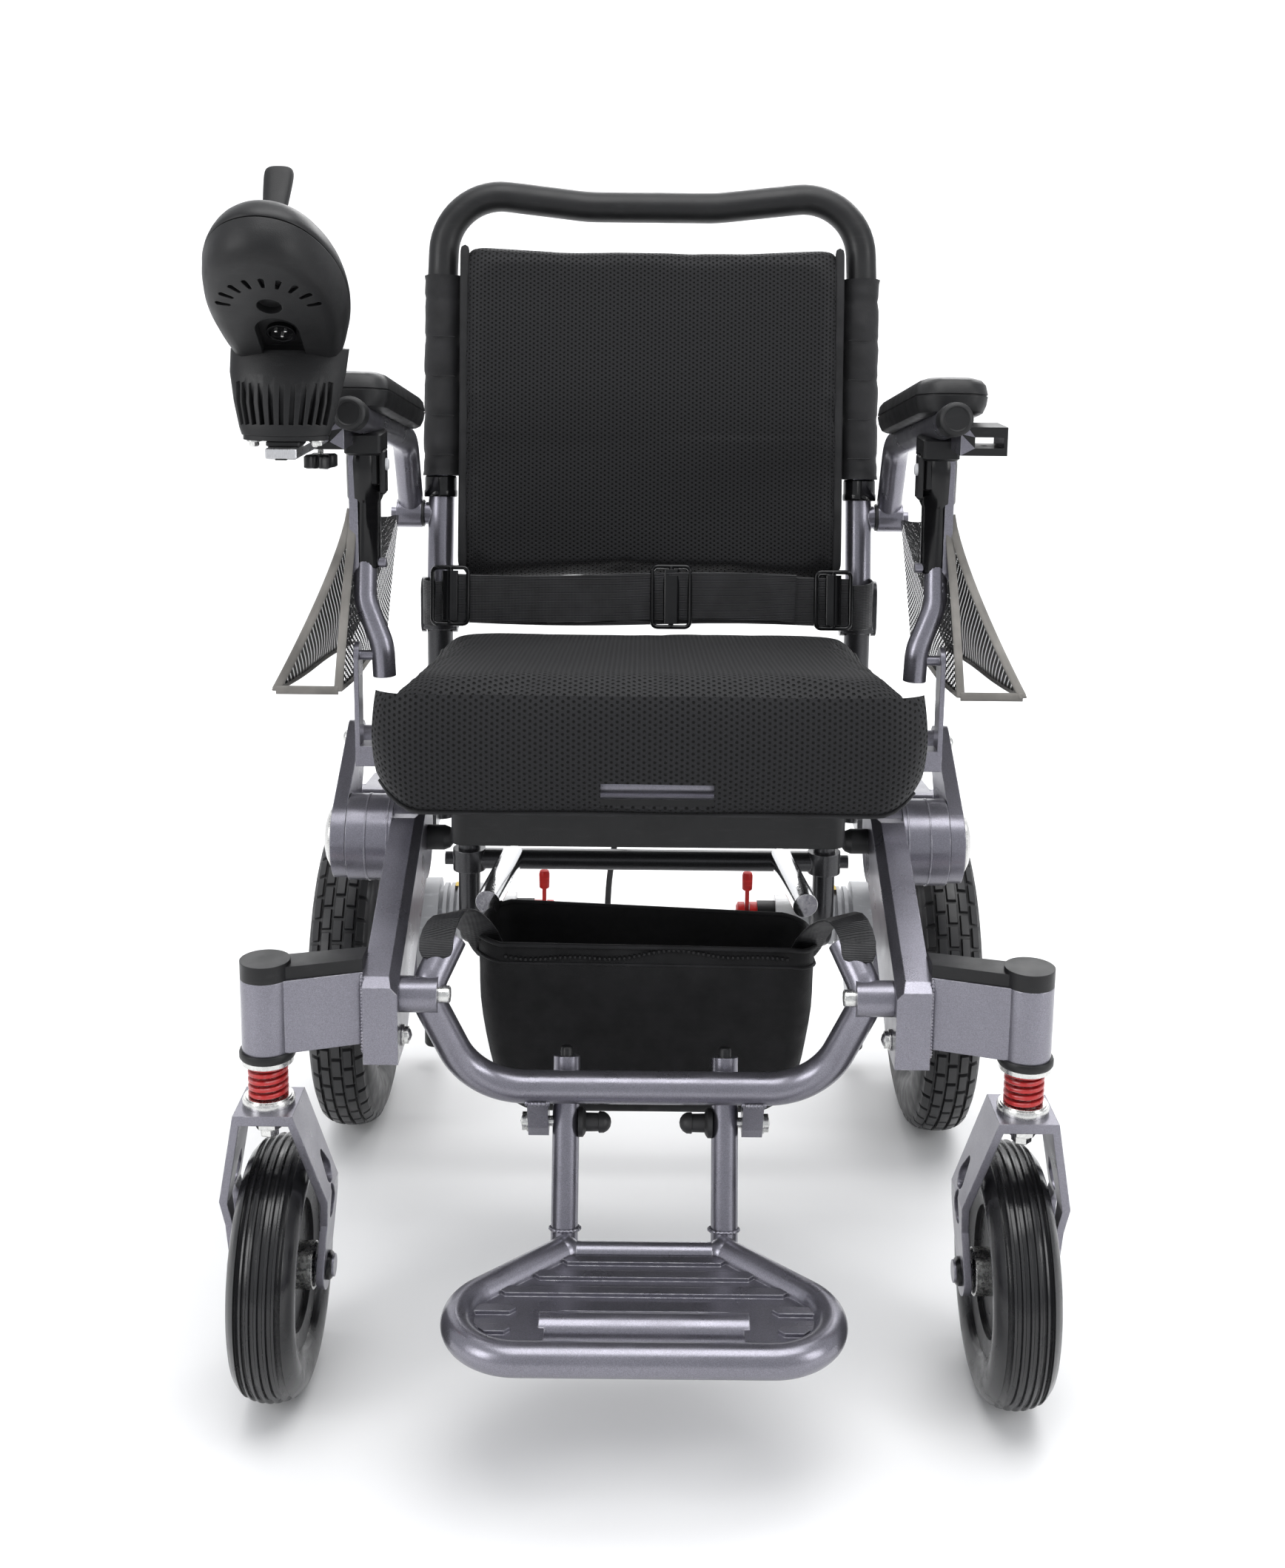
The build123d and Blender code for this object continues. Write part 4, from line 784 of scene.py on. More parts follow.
def hugging(obj, line, size):
    """Thin tube round a soft piece, laid where each point of a loose line meets it."""
    graph = bpy.context.evaluated_depsgraph_get()
    tree = BVHTree.FromObject(obj, graph)
    path = []
    for p in even_loop(line, 7.0):
        spot, normal, _, _ = tree.find_nearest(at(*p))
        v = spot + normal * (size * 0.25 * MM)
        path.append(Vector((v.x / MM, v.y / MM - Y_SHIFT, v.z / MM)))
    return sweep(smoothed(path), ring_of(size, 8), closed=True)


def smoothed(path):
    """Closed path with each point moved to the mean of its neighbours."""
    n = len(path)
    return [(path[k - 1] + path[k] * 2 + path[(k + 1) % n]) / 4 for k in range(n)]


def even_loop(line, gap):
    """Closed line divided into runs of about one length."""
    points = [Vector(p) for p in line]
    out = []
    for a, b in zip(points, points[1:] + points[:1]):
        parts = max(1, round((b - a).length / gap))
        out += [a.lerp(b, k / parts) for k in range(parts)]
    return out


def back_outline(half, low, high, corner):
    """Outline of the back pad on the reclined plane, with a slightly raised top edge."""
    flat = outline(half, low, high, corner, 5)
    return [(x, l + (5 * math.cos(math.pi * x / (2 * half)) if l > (low + high) / 2 else 0))
            for x, l in flat]


def back_pad():
    """Back upholstery: thin padded panel with piping along its sides."""
    rings = []
    for forward, pull in ((-3, 8), (-1, 3), (8, 0), (17, 2), (23, 9)):
        flat = back_outline(PAD_HALF - 2 - pull, PAD_FROM + 3 + pull, PAD_TO - 6 - pull, 16)
        rings.append([on_back(x, l, forward) for x, l in flat])
    obj = new_object("back_pad_padded", loft(rings), back_mesh)

    def settle(p):
        """Slack folds low down, and nothing beyond the pad's own space."""
        wave = noise.noise(Vector((p.x * 7, p.z * 16, 1.1))) * 2.2
        p.y += wave * MM * (1.2 if p.z < 0.7 else 0.6)
        return p

    puff(obj, 0.007, settle, give=(0.0, 1.0, 0.2))
    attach(obj, "backrest")
    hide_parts("back_pad")
    bands = []
    for s in (1, -1):
        strip = [on_back(s * (PAD_HALF - 4.5), l, 19 + 1.5 * math.sin(l / 37)) for l in range(22, 338, 12)]
        bands.append(sweep(strip, strap_section(9, 4.5), (1, 0, 0), hold=True))
    make("back_pad_piping", join(*bands), "backrest", piping_cloth, levels=1)


def sleeve_ring(s, l, fat):
    """Ring of a post's sleeve at l along the backrest, wider towards the pad."""
    steps, ring = 28, []
    for j in range(steps):
        a = 2 * math.pi * j / steps
        crumple = noise.noise(Vector((s * 3 + math.cos(a), math.sin(a), l / 23)))
        r = fat + 0.7 * crumple
        u, w = r * math.cos(a), r * math.sin(a) * 0.96
        if u < 0:
            u *= 1.22
            w *= 1 - 0.22 * min(1.0, -u / 18)
        ring.append(on_back(s * (POST_X + u), l, w + 2))
    return ring


def back_sleeves():
    """Cordura sleeves round the posts, with rows of stitching."""
    low, last, step, row_gap = 112, 46, 4.2, 38.0
    shapes, stitches = [], []
    for s in (1, -1):
        rings = []
        for k in range(last + 1):
            l = low + k * step
            pinch = 1.1 * math.exp(-(((l - low) % row_gap - row_gap / 2) / 3.2) ** 2)
            flare = 0.9 if k in (0, last) else 0
            rings.append(sleeve_ring(s, l, 16.6 + flare - pinch))
        shapes.append(loft(rings))
        for k in range(4):
            l = 131 + 38 * k
            row = [on_back(s * (POST_X - 14 + t * 4.4), l + 0.4 * (t % 2), 18.6) for t in range(6)]
            stitches.append(sweep(row, ring_of(0.45, 6), (0, 0, 1)))
    make("back_sleeves", join(*shapes), "backrest", cordura, 60)
    make("back_sleeve_stitching", join(*stitches), "backrest", piping_cloth, slot="webbing")


def handle_path():
    """Centre line of the push handle, from post to post."""
    right = [on_back(-POST_X, 296), on_back(-POST_X + 3, HANDLE_TOP), on_back(-62, HANDLE_TOP - HANDLE_DIP)]
    left = [Vector((-p.x, p.y, p.z)) for p in reversed(right)]
    return rounded(right + left, [56, 160, 160, 56], 14)


def handle_grip():
    """Foam grip over the whole push handle."""
    grip = sweep(handle_path(), ring_of(14.6, 32), (0, 1, 0))
    make("handle_grip", grip, "backrest", grip_black)


def post_collars():
    """Gloss-black collars on the posts under the sleeves, and the pivots' rubber rings."""
    shapes, rings = [], []
    axis = on_back(0, 1) - on_back(0, 0)
    for s in (1, -1):
        profile = [(0, 12.7), (0, 15.6), (1.2, 16.2), (6, 16.2), (7, 15.6), (19, 15.6), (20.5, 14.6),
                   (20.5, 12.7)]
        shapes.append(lathe(profile, on_back(s * POST_X, 91), axis, 36, closed=True))
        y, z = BACK_Y + 14, BACK_Z + 74
        tyre = [(-2.2, 11.6), (-1.4, 13.2), (1.4, 13.2), (2.2, 11.6), (1.4, 10.4), (-1.4, 10.4)]
        rings.append(lathe(tyre, (s * (POST_X + 17.4), y, z), (1, 0, 0), 32, closed=True))
    make("post_collars", join(*shapes), "backrest", gloss_black)
    make("pivot_rings", join(*rings), "backrest", rubber_black)


def slide_buckle(x, l, f, width, height):
    """Rectangular slide buckle on the back plane, with the web that runs over its bar."""
    loop = outline(width / 2, l - height / 2, l + height / 2, 5, 4)
    rim = sweep([on_back(x + u, v, f) for u, v in loop], ring_of(2.4, 8, 0.9), (0, 1, 0), closed=True)
    ends = (l - height / 2, l + height / 2)
    bar = sweep([on_back(x, end, f) for end in ends], ring_of(2.6, 8), (1, 0, 0))
    web = sweep([on_back(x, ends[0] + 3, f + 0.6), on_back(x, ends[1] - 3, f + 0.6)],
                strap_section(15, 3.4), (1, 0, 0))
    return join(rim, bar, web)


def lap_belt():
    """Lap belt across the foot of the backrest, its doubled run and three slide buckles."""
    step, path, spare = 6, [], []
    for k in range(65):
        x = -192 + step * k
        path.append(on_back(x, BELT_ALONG + 1.8 * math.sin(x / 53),
                            BELT_FORWARD + 1.4 + 1.2 * math.sin(x / 29 + 1)))
    belt = sweep(path, strap_section(BELT_W, 2.0), (0, 0, 1), hold=True)
    for k in range(56):
        x = -190 + step * k
        rise = 2.5 + 2.5 * math.sin(x / 61 + 0.5)
        lift = 3.6 + 1.1 * math.sin(x / 21) + 1.8 * math.exp(-((x - 21) / 22) ** 2)
        spare.append(on_back(x, BELT_ALONG + rise, BELT_FORWARD + lift))
    doubled = sweep(spare, strap_section(BELT_W - 1, 1.8), (0, 0, 1), hold=True)
    obj = make("lap_belt_webbing", join(belt, doubled), "backrest", belt_webbing)
    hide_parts("lap_belt")
    loops = []
    for s, x in ((1, 188), (-1, -190)):
        hoop = [(x + s * 16 * math.sin(a) + (s * 12), BACK_Y - 14 - 20 * math.cos(a), 541 + 0.8 * s * a)
                for a in (math.radians(-60 + 24 * k) for k in range(12))]
        loops.append(sweep(hoop, strap_section(BELT_W - 3, 2.0), (0, 0, 1), hold=True))
    make("belt_side_loops", join(*loops), "backrest", belt_webbing)
    plates = [slide_buckle(x, BELT_ALONG + rise, BELT_FORWARD + lift, w, h)
              for x, rise, lift, w, h in BUCKLES]
    make("belt_buckles", join(*plates), "backrest", gloss_black, 60)


# ---- armrests ---------------------------------------------------------------
def arm_height(y):
    """Centre height of the armrest tube."""
    return ARM_FRONT_Z - (y - ARM_FRONT_Y) * ARM_SLOPE


def arm_pad(side, s):
    """Moulded foam arm pad with a parting line."""
    length, width, thick, crown_from = 260.0, 57.0, 30.0, 20.0
    levels = ((0, 7), (2, 3.5), (8, 1), (14.6, 0), (15.0, 0.9), (15.6, 0.9), (16, 0), (24, 1.4),
              (28, 4.5), (thick, 10))
    rings = []
    for h, pull in levels:
        flat = outline(width / 2 - pull, -length / 2 + pull, length / 2 - pull, 21 - pull * 0.4, 7)
        rings.append([(x, y, h - thick / 2 + (1.6 * math.cos(y / 83) - 1.0 if h > crown_from else 0))
                      for x, y in flat])
    mid, lift, a = ARM_FRONT_Y + 153, 21, math.radians(9.0)
    spot = (s * (ARM_X + 4), mid + lift * math.sin(a), arm_height(mid) + lift * math.cos(a))
    place = Matrix.Translation(spot) @ Matrix.Rotation(-a, 4, "X")
    pad = make(f"arm_pad_{side}_foam", moved(loft(rings), place), f"armrest_{side}", grip_black, 30)
    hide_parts(f"arm_pad_{side}")


def arm_fittings(side, s):
    """End cap, bracket with its release lever, and button."""
    body = f"armrest_{side}"
    profile = [(-16, 12.15), (-16, 12.9), (-1, 13.1), (2.5, 12.9), (4.2, 11.4), (4.6, 9.5), (3.6, 8.6),
               (3.6, 0.4)]
    cap = lathe(profile, (s * ARM_X, ARM_FRONT_Y, ARM_FRONT_Z), (0, -1, ARM_SLOPE), 36)
    make(f"arm_end_cap_{side}", cap, body, satin_black)
    x, y = ARM_X, ARM_FRONT_Y + 79
    z = arm_height(y)
    saddle = block((x - 14.5, y - 22, z - 26), (x + 14.5, y + 20, z - 8), 2)
    lower = block((x - 12, y - 11, z - 52), (x + 4.5, y + 11, z - 24), 2.4)
    lever = block((x - 17, y - 16, z - 58), (x - 12.6, y + 2, z - 22), 1.6)
    bracket = mirrored(join(saddle, lower, lever), s)
    make(f"arm_bracket_{side}", bracket, body, satin_black)
    button = lathe([(0, 5), (2, 5), (2.8, 4), (3, 0.4)], (s * (x - 16.4), y - 9, z - 34), (-s, 0, 0), 20)
    make(f"arm_release_{side}", button, body, motor_grey)


def build_armrests():
    """Pads, caps, brackets and the accessory receivers' black finish."""
    for side, s in SIDES:
        repaint(f"arm_frame_{side}", satin_black, lambda x, y, z: x > 243 and y < 139)
        arm_pad(side, s)
        arm_fittings(side, s)


# ---- storage bag ------------------------------------------------------------
def bag_rim(x, y):
    """Height of the bag's open rim, wavy and higher at the back."""
    back = min(1.0, max(0.0, (y - 112) / 90))
    front_z = 320 + 3.5 * math.sin(x / 31 + 0.6) + 2 * math.sin(x / 13)
    back_z = 316 + 11 * math.cos((x + 30) / 62) - 5 * (x / 138) ** 2
    return front_z * (1 - back) + back_z * back


def bag_ring(half, y0, y1, share, inner=0.0):
    """Ring of the bag at a share of the height from its floor to its rim."""
    ring = []
    for x, y in outline(half - inner, y0 + inner, y1 - inner, 20, 9):
        z = BAG_FLOOR + (bag_rim(x, y) - BAG_FLOOR) * share
        fold = noise.noise(Vector((x / 46, y / 46, z / 38))) * 3.2 * math.sin(math.pi * min(share, 0.9))
        toward = 1 + fold / max(60.0, abs(x) + 1)
        ring.append((x * toward, y + fold * (1 if y < 150 else -0.6), z))
    return ring


def storage_bag():
    """Slack nylon bag: sides that bulge, open rim with piping, zip strip and straps."""
    # share of the height, half width, front y, back y
    plan = ((0.0, 96, 116, 200), (0.03, 108, 108, 208), (0.1, 119, 104, 212), (0.25, 127, 102, 214),
            (0.45, 133, 101, 215), (0.65, 136, 100, 215), (0.82, 137, 101, 216), (0.93, 138, 103, 216),
            (1.0, 138, 104, 216))
    rings = [bag_ring(half, y0, y1, share) for share, half, y0, y1 in plan]
    rings += [bag_ring(half, y0, y1, share, inner=2.4) for share, half, y0, y1 in reversed(plan[2:])]
    bag = make("storage_bag_shell", loft(rings), "front_frame", bag_nylon, 70, 1)
    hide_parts("storage_bag")
    rims = []
    for share, size in ((1.0, 2.0), (0.9, 1.3)):
        rims.append(sweep(bag_ring(138.4, 102.6, 216.6, share), ring_of(size, 8), closed=True))
    make("storage_bag_piping", join(*rims), "front_frame", piping_cloth, 60, slot="bag_fabric")
    teeth, half_tooth = [], Vector((1.1, 1.2, 1.4))
    for k in range(58):
        x = -114 + 4 * k
        z = BAG_FLOOR + (bag_rim(x, BAG_FRONT_Y) - BAG_FLOOR) * 0.945
        tooth = Vector((x, 101.2, z))
        teeth.append(block(tooth - half_tooth, tooth + half_tooth, 0.4))
    make("storage_bag_zip", join(*teeth), "front_frame", satin_black)
    straps = []
    for s in (1, -1):
        path = [(s * 127, 132, 296), (s * 134, 118, 322), (s * 142, 82, 350), (s * 150, 44, 371),
                (s * 155, 22, 373), (s * 160, 6, 362), (s * 158, 2, 346)]
        straps.append(sweep(path, strap_section(27, 2.2), (1, 0, 0.25), hold=True))
    make("storage_bag_straps", join(*straps), "front_frame", belt_webbing, levels=1)


# ---- footrest details -------------------------------------------------------
def weld(centre, axis, r, size=1.5, steps=18):
    """Ring of weld beads round a tube."""
    n, side, up = square_to(axis)
    rings = []
    count = steps * 4
    for k in range(count):
        a = 2 * math.pi * k / count
        spot = Vector(centre) + side * (r * math.cos(a)) + up * (r * math.sin(a))
        out = (spot - Vector(centre)).normalized()
        fat = size * (1 + 0.28 * math.cos(a * steps))
        rings.append([spot + out * u + n * v for u, v in ring_of(fat, 8)])
    return loft(rings, wrap=True)


def bead_line(a, b, size=1.6):
    """Straight run of weld beads between two points."""
    a, b = Vector(a), Vector(b)
    _, side, up = square_to(b - a)
    pitch = 2.6
    count = max(4, int((b - a).length / pitch) * 4)
    rings = []
    for k in range(count + 1):
        fat = size * (1 + 0.3 * math.cos(math.pi * k / 2)) * (0.3 if k in (0, count) else 1)
        spot = a.lerp(b, k / count)
        rings.append([spot + side * u + up * v for u, v in ring_of(fat, 8)])
    return loft(rings)


def hex_head(centre, axis, d, h):
    """Hexagon head with a washer under it."""
    washer = lathe([(0, d * 0.3), (0, d * 0.66), (1.2, d * 0.66), (1.4, d * 0.3)], centre, axis, 28,
                   closed=True)
    head = lathe([(1.2, d / 2), (h - 0.8, d / 2), (h, d / 2 - 0.9), (h, 0.4)], centre, axis, 6)
    return join(washer, head)


def socket_head(centre, axis, d, h):
    """Cap screw with a hexagon socket."""
    wall = lathe([(0, d / 2), (h - 0.8, d / 2), (h, d / 2 - 0.8), (h, d * 0.27)], centre, axis, 28)
    return join(wall, lathe([(h + 0.02, d * 0.27), (h - 2.6, d * 0.25), (h - 2.8, 0.3)], centre, axis, 6))


def domed_head(centre, axis, d, h):
    """Domed nut on a flange."""
    return lathe([(0, d * 0.62), (1.3, d * 0.62), (1.6, d / 2), (h * 0.55, d * 0.47), (h * 0.85, d * 0.3),
                  (h, 0.4)], centre, axis, 28)


def footrest_details():
    """Bumpers, welds, bolts and stubs round the footrest's pivot."""
    bumpers, front_welds, plate_welds, zinc_bits, stubs = [], [], [], [], []
    for s in (1, -1):
        bumper = [(-1, 11.4), (2.5, 11.4), (4, 9.5), (5, 7.2), (14.5, 7.0), (15.2, 8.2), (19, 8.0),
                  (22, 6.2), (24, 3.4), (24.6, 0.4)]
        bumpers.append(lathe(bumper, (s * 51.2, 31, 203), (-s, 0, 0), 30))
        for x in (75, 91):
            front_welds.append(bead_line((s * x, 4.5, 232), (s * x, 11, 227.5)))
        front_welds.append(bead_line((s * 76, 4.2, 231), (s * 90, 4.2, 231)))
        front_welds.append(bead_line((s * 210, -26, 286), (s * 210, -26, 338), 1.5))
        front_welds.append(bead_line((s * 211, -22.5, 291.5), (s * 211, -22.5, 346), 1.3))
        plate_welds.append(weld((s * 61.5, 7, 127), (0, 0.28, 1), 11.4, 1.2, 20))
        stub = [(0, 5.0), (14, 5.0), (15.5, 3.9), (15.6, 0.4)]
        stubs.append(lathe(stub, (s * 62, 45, 243), (0, 0.18, 1), 20))
        zinc_bits.append(domed_head((s * 91, 32, 203), (s, 0, 0), 13, 6.5))
        zinc_bits.append(socket_head((s * 156, -7, 324), (-s, 0, 0), 12.6, 9))
        zinc_bits.append(domed_head((s * 183.6, -4, 290), (-s, 0, 0), 13, 7))
    make("footplate_leg_stubs", join(*stubs), "footrest", satin_black)
    make("footrest_bumpers", join(*bumpers), "footrest", rubber_black)
    make("footrest_hardware", join(*zinc_bits), "front_frame", zinc)
    make("front_welds", join(*front_welds), "front_frame", silver, 60)
    make("footplate_welds", join(*plate_welds), "footrest", silver, 60)


# ---- under the seat ---------------------------------------------------------
def skirt_turn(x):
    """How far the skirt has turned round the cushion's corner, from 0 to 1, and its y there."""
    bend = max(0.0, abs(x) - SKIRT_TURN_X) / 41
    return bend, SKIRT_TURN_R * (1 - math.sqrt(max(0.0, 1 - bend * bend)))


def seat_skirt():
    """Cushion cover's front panel over the front rail, open near its lower middle."""
    rows, columns = 14, 102
    verts = []
    for i in range(rows + 1):
        t = i / rows
        belly = 8.5 * math.sin(math.pi * min(1.0, t * 1.05)) ** 0.7 if t < 0.95 else 1.5
        for j in range(columns + 1):
            x = -SKIRT_HALF + 2 * SKIRT_HALF * j / columns
            bend, y = skirt_turn(x)
            low, high = SKIRT_LOW + 26 * bend * bend, seat_top(y) - 8
            wave = 0.7 * math.sin(x / 23 + 4 * t)
            y += 6.0 - belly + wave + (7 if i == rows else 0)
            verts.append((x * (1 + 0.012 * bend * math.sin(math.pi * t)), y, high + (low - high) * t))

    def sewn(i, j):
        """Whether a quad belongs to the panel, not to its opening."""
        x = -SKIRT_HALF + 2 * SKIRT_HALF * (j + 0.5) / columns
        return not (9 < i < 13 and abs(x - 6) < (43 if i > 10 else 41))

    panel = (verts, grid_faces(rows, columns, sewn))
    obj = make("seat_cushion_skirt", panel, "rear_frame", seat_mesh, 80)
    thicken(obj, 2.2)
    hem = []
    for x in range(-202, 203, 8):
        bend, y = skirt_turn(x)
        hem.append((x, y + 9, SKIRT_LOW - 0.4 + 26 * bend * bend))
    make("seat_skirt_hem", sweep(hem, strap_section(6, 2.6), (0, 1, 0), hold=True), "rear_frame",
         piping_cloth)


def thicken(obj, thick):
    """Give a single-faced sheet a thickness, in millimetres."""
    mod = obj.modifiers.new("thick", "SOLIDIFY")
    mod.thickness = thick * MM
    mod.offset = 0.0
    solid = evaluated_mesh(obj)
    obj.modifiers.clear()
    obj.data = solid
    shade(obj, 60)


def seat_cord():
    """Cord under the seat, with its plug and the plug's relief rings."""
    spine = bpy.data.curves.new("seat_cord", "CURVE")
    spine.dimensions = "3D"
    spine.bevel_depth = 0.003
    spine.bevel_resolution = 4
    spine.use_fill_caps = True
    line = [(-0.012, 0.064, 0.431), (-0.012, 0.096, 0.431), (-0.018, 0.126, 0.404),
            (-0.024, 0.148, 0.350), (-0.034, 0.170, 0.290), (-0.038, 0.186, 0.245),
            (-0.038, 0.186, 0.209)]
    spline = spine.splines.new("NURBS")
    spline.points.add(len(line) - 1)
    for point, spot in zip(spline.points, line):
        point.co = (*spot, 1.0)
    spline.order_u = 3
    spline.use_endpoint_u = True
    spine.materials.append(rubber_black)
    cord = bpy.data.objects.new("seat_cord", spine)
    bpy.context.scene.collection.objects.link(cord)
    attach(cord, "rear_frame")
    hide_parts("seat_cable")
    shell = sweep([(-12, 290.5, 431), (-12, 300, 431), (-12, 312, 430.6), (-12.4, 318, 429.8)],
                  ring_of(8.4, 20, 0.8), (1, 0, 0))
    relief = [lathe([(0, 5.4 - 0.3 * k), (1.2, 5.2 - 0.3 * k)],
                    (-12.2 - 0.1 * k, 317 + 1.9 * k, 430.4 - 0.2 * k), (0, 1, -0.1), 20) for k in range(6)]
    plug = make("seat_cord_plug", join(shell, *relief), "rear_frame", matte_black)


def seat_slings():
    """Two straps that hang from the seat frame."""
    slings = []
    for s in (1, -1):
        path = [(s * 150, 262, 466), (s * 152, 276, 440), (s * 155, 286, 405), (s * 157, 288, 372),
                (s * 158, 288, 340)]
        slings.append(sweep(path, strap_section(24, 2.0), (1, 0.1, 0), hold=True))
    make("seat_slings", join(*slings), "rear_frame", belt_webbing, levels=1)


# ---- frame details ----------------------------------------------------------
def hub_details():
    """Ledges on the hub drums and the bolts above them."""
    ledges, bolts = [], []
    for _, s in SIDES:
        for x in DRUM_LEDGE_X:
            ledges.append(lathe([(-0.8, 35.8), (-0.8, 36.5), (0.8, 36.5), (0.8, 35.8)],
                                (s * x, HUB_Y, HUB_Z), (s, 0, 0), 72, closed=True))
        bolts.append(domed_head((s * 260.6, 240, 454.5), (s, 0, 0), 12, 6))
    make("hub_drum_ledges", join(*ledges), "front_frame", silver, 60)
    make("frame_hardware", join(*bolts), "rear_frame", zinc)


def stem_details():
    """Nut, collar ring and spring seat on each caster's stem."""
    for side, s in SIDES:
        x, y = s * CASTER_X, STEM_Y
        nut = hex_head((x, y, 230.6), (0, 0, -1), 15, 8)
        collar = lathe([(0, 9), (0, 20), (1.6, 20.6), (5, 20.6), (6.4, 19.6), (6.4, 9)], (x, y, 291.2),
                       (0, 0, -1), 40, closed=True)
        seat = lathe([(-2, 17), (-2, 18.6), (3, 19.4), (5.4, 18.4), (5.4, 10)], (x, y, 248.6), (0, 0, 1), 40)
        make(f"caster_stem_nut_{side}", nut, f"caster_slider_{side}", zinc)
        make(f"caster_collar_ring_{side}", collar, "front_frame", satin_black)
        make(f"caster_seat_ring_{side}", seat, f"caster_slider_{side}", zinc)


# ---- armrest supports and side nets -----------------------------------------
def arm_supports():
    """S-bent lower support, and the black sleeve that it slides into."""
    x, y, foot = 232, 166, 618
    # height, half width, half depth
    levels = ((foot, 11.4, 11.4), (619, 12.2, 12.2), (672, 12.6, 12.8), (676, 14.5, 16), (706, 15, 18),
              (722, 14, 17))
    for side, s in SIDES:
        line = rounded([(s * 216, 150, 531), (s * 217, 150, 556), (s * x, 158, 592), (s * x, y, 640)],
                       [34, 34], 8)
        tube = make(f"arm_support_{side}_bent", sweep(line, ring_of(9.4, 28), (1, 0, 0)),
                    f"support_{side}", silver)
        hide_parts(f"arm_support_{side}")
        rings = [[(s * x + u * a / 10, y + (z - foot) * 0.02 + v * b / 10, z) for u, v in ring_of(10, 28)]
                 for z, a, b in levels]
        make(f"arm_sleeve_{side}", loft(rings), f"armrest_{side}", gloss_black)


def net_point(s, t, v, bulge, top_x):
    """Point of a net panel at t down from its top edge and v back from its front edge."""
    y = 128 + 30 * (1 - t) + v * (268 - 34 * t)
    sag = 4 * math.sin(math.pi * v) * (1 - t)
    x = top_x + bulge * (t ** 1.4) * (1 - 0.35 * v) + 1.6 * math.sin(7 * v + 3 * t)
    z = 668 - 0.1584 * (y - 150) - sag - (148 - 26 * v) * t
    return s * x, y, max(NET_FLOOR, z)


def side_nets():
    """Net pockets that hang outside the armrests, with a grey binding."""
    looks = {"outer": net_dense, "inner": net_open}
    tape = strap_section(7, 1.8)
    for side, s in SIDES:
        edges, feet = [], []
        for name, bulge, top_x, cut in NET_PANELS:
            verts = [net_point(s, i / NET_ROWS, j / NET_COLUMNS, bulge, top_x)
                     for i in range(NET_ROWS + 1) for j in range(NET_COLUMNS + 1)]
            front, hem = verts[::NET_COLUMNS + 1], verts[-NET_COLUMNS - 1:]
            edges += [front, hem]
            feet.append(Vector(hem[0]))
            panel = (verts, grid_faces(NET_ROWS, NET_COLUMNS))
            net = make(f"side_net_{side}_{name}", panel, f"armrest_{side}", looks[name], 80, 1)
        tapes = [sweep(path, tape, (1, 0.2, 0), hold=True) for path in edges]
        across = [feet[0], feet[0].lerp(feet[1], 0.5), feet[1]]
        tapes.append(sweep(across, tape, (0, 0, 1), hold=True))
        make(f"side_net_{side}_binding", join(*tapes), f"armrest_{side}", binding_grey, 60)


# ---- controller -------------------------------------------------------------
CONTROL = Matrix.Translation((-258, -22, 838)) @ Matrix.Rotation(math.radians(-36), 4, "X")
# height in the controller's own layout, growth over the egg's outline
SHELL_LOW = ((-26, -16), (-25.6, -12), (-23, -7), (-17, -3), (-8, -0.8), (-0.6, 0), (-0.6, -3.5),
             (-8, -4.2), (-15, -9))
SHELL_HIGH = ((-0.2, -3), (-0.2, 0.4), (4, 0.6), (12, -2), (19, -7), (23.5, -14), (25.4, -24), (25.8, -36))


def egg_ring(z, grow):
    """Egg-shaped ring at one height of the controller, in its own layout."""
    ring = []
    for k in range(72):
        a = 2 * math.pi * k / 72
        y = -math.cos(a) * (EGG_HALF_L + grow)
        share = (y + EGG_HALF_L) / (2 * EGG_HALF_L)
        half = (EGG_HALF_W + grow) * (1 - 0.30 * max(0.0, share - 0.25) ** 1.3)
        flat = abs(math.sin(a)) ** -0.12 if abs(math.sin(a)) > 0.05 else 1.0
        ring.append((math.sin(a) * half * min(flat, 1.1), y, z))
    return ring


def carve(obj, cutters):
    """Cut closed shapes out of a piece."""
    tool = new_object("cutter", cutters)
    mod = obj.modifiers.new("cut", "BOOLEAN")
    mod.operation = "DIFFERENCE"
    mod.solver = "EXACT"
    mod.use_self = True
    mod.object = tool
    result = evaluated_mesh(obj)
    obj.modifiers.clear()
    obj.data = result
    bpy.data.objects.remove(tool)
    shade(obj, 38)


def pill(x, y, turn, length, width, z0, z1, taper=1.0):
    """Slot-shaped cutter standing along the controller's own z."""
    spin = Matrix.Translation((x, y, 0)) @ Matrix.Rotation(turn, 4, "Z")
    flat = []
    for k in range(16):
        a = 2 * math.pi * k / 16
        end = 1 if math.sin(a) >= 0 else -1
        r = width / 2 * (taper if end > 0 else 1.0)
        flat.append((r * math.cos(a), r * math.sin(a) + end * (length - width) / 2))
    return loft([[spin @ Vector((u, v, z)) for u, v in flat] for z in (z0, z1)])


def prism(flat, *heights):
    """Solid over a flat outline, with a ring at each height."""
    return loft([[(x, y, z) for x, y in flat] for z in heights])


def arc(cx, cy, r, start, sweep_angle, count, ratio=1.0):
    """Points on a round stretch, from start, in radians."""
    turns = [start + sweep_angle * k for k in range(count)]
    return [(cx + r * math.cos(a), cy + r * ratio * math.sin(a)) for a in turns]


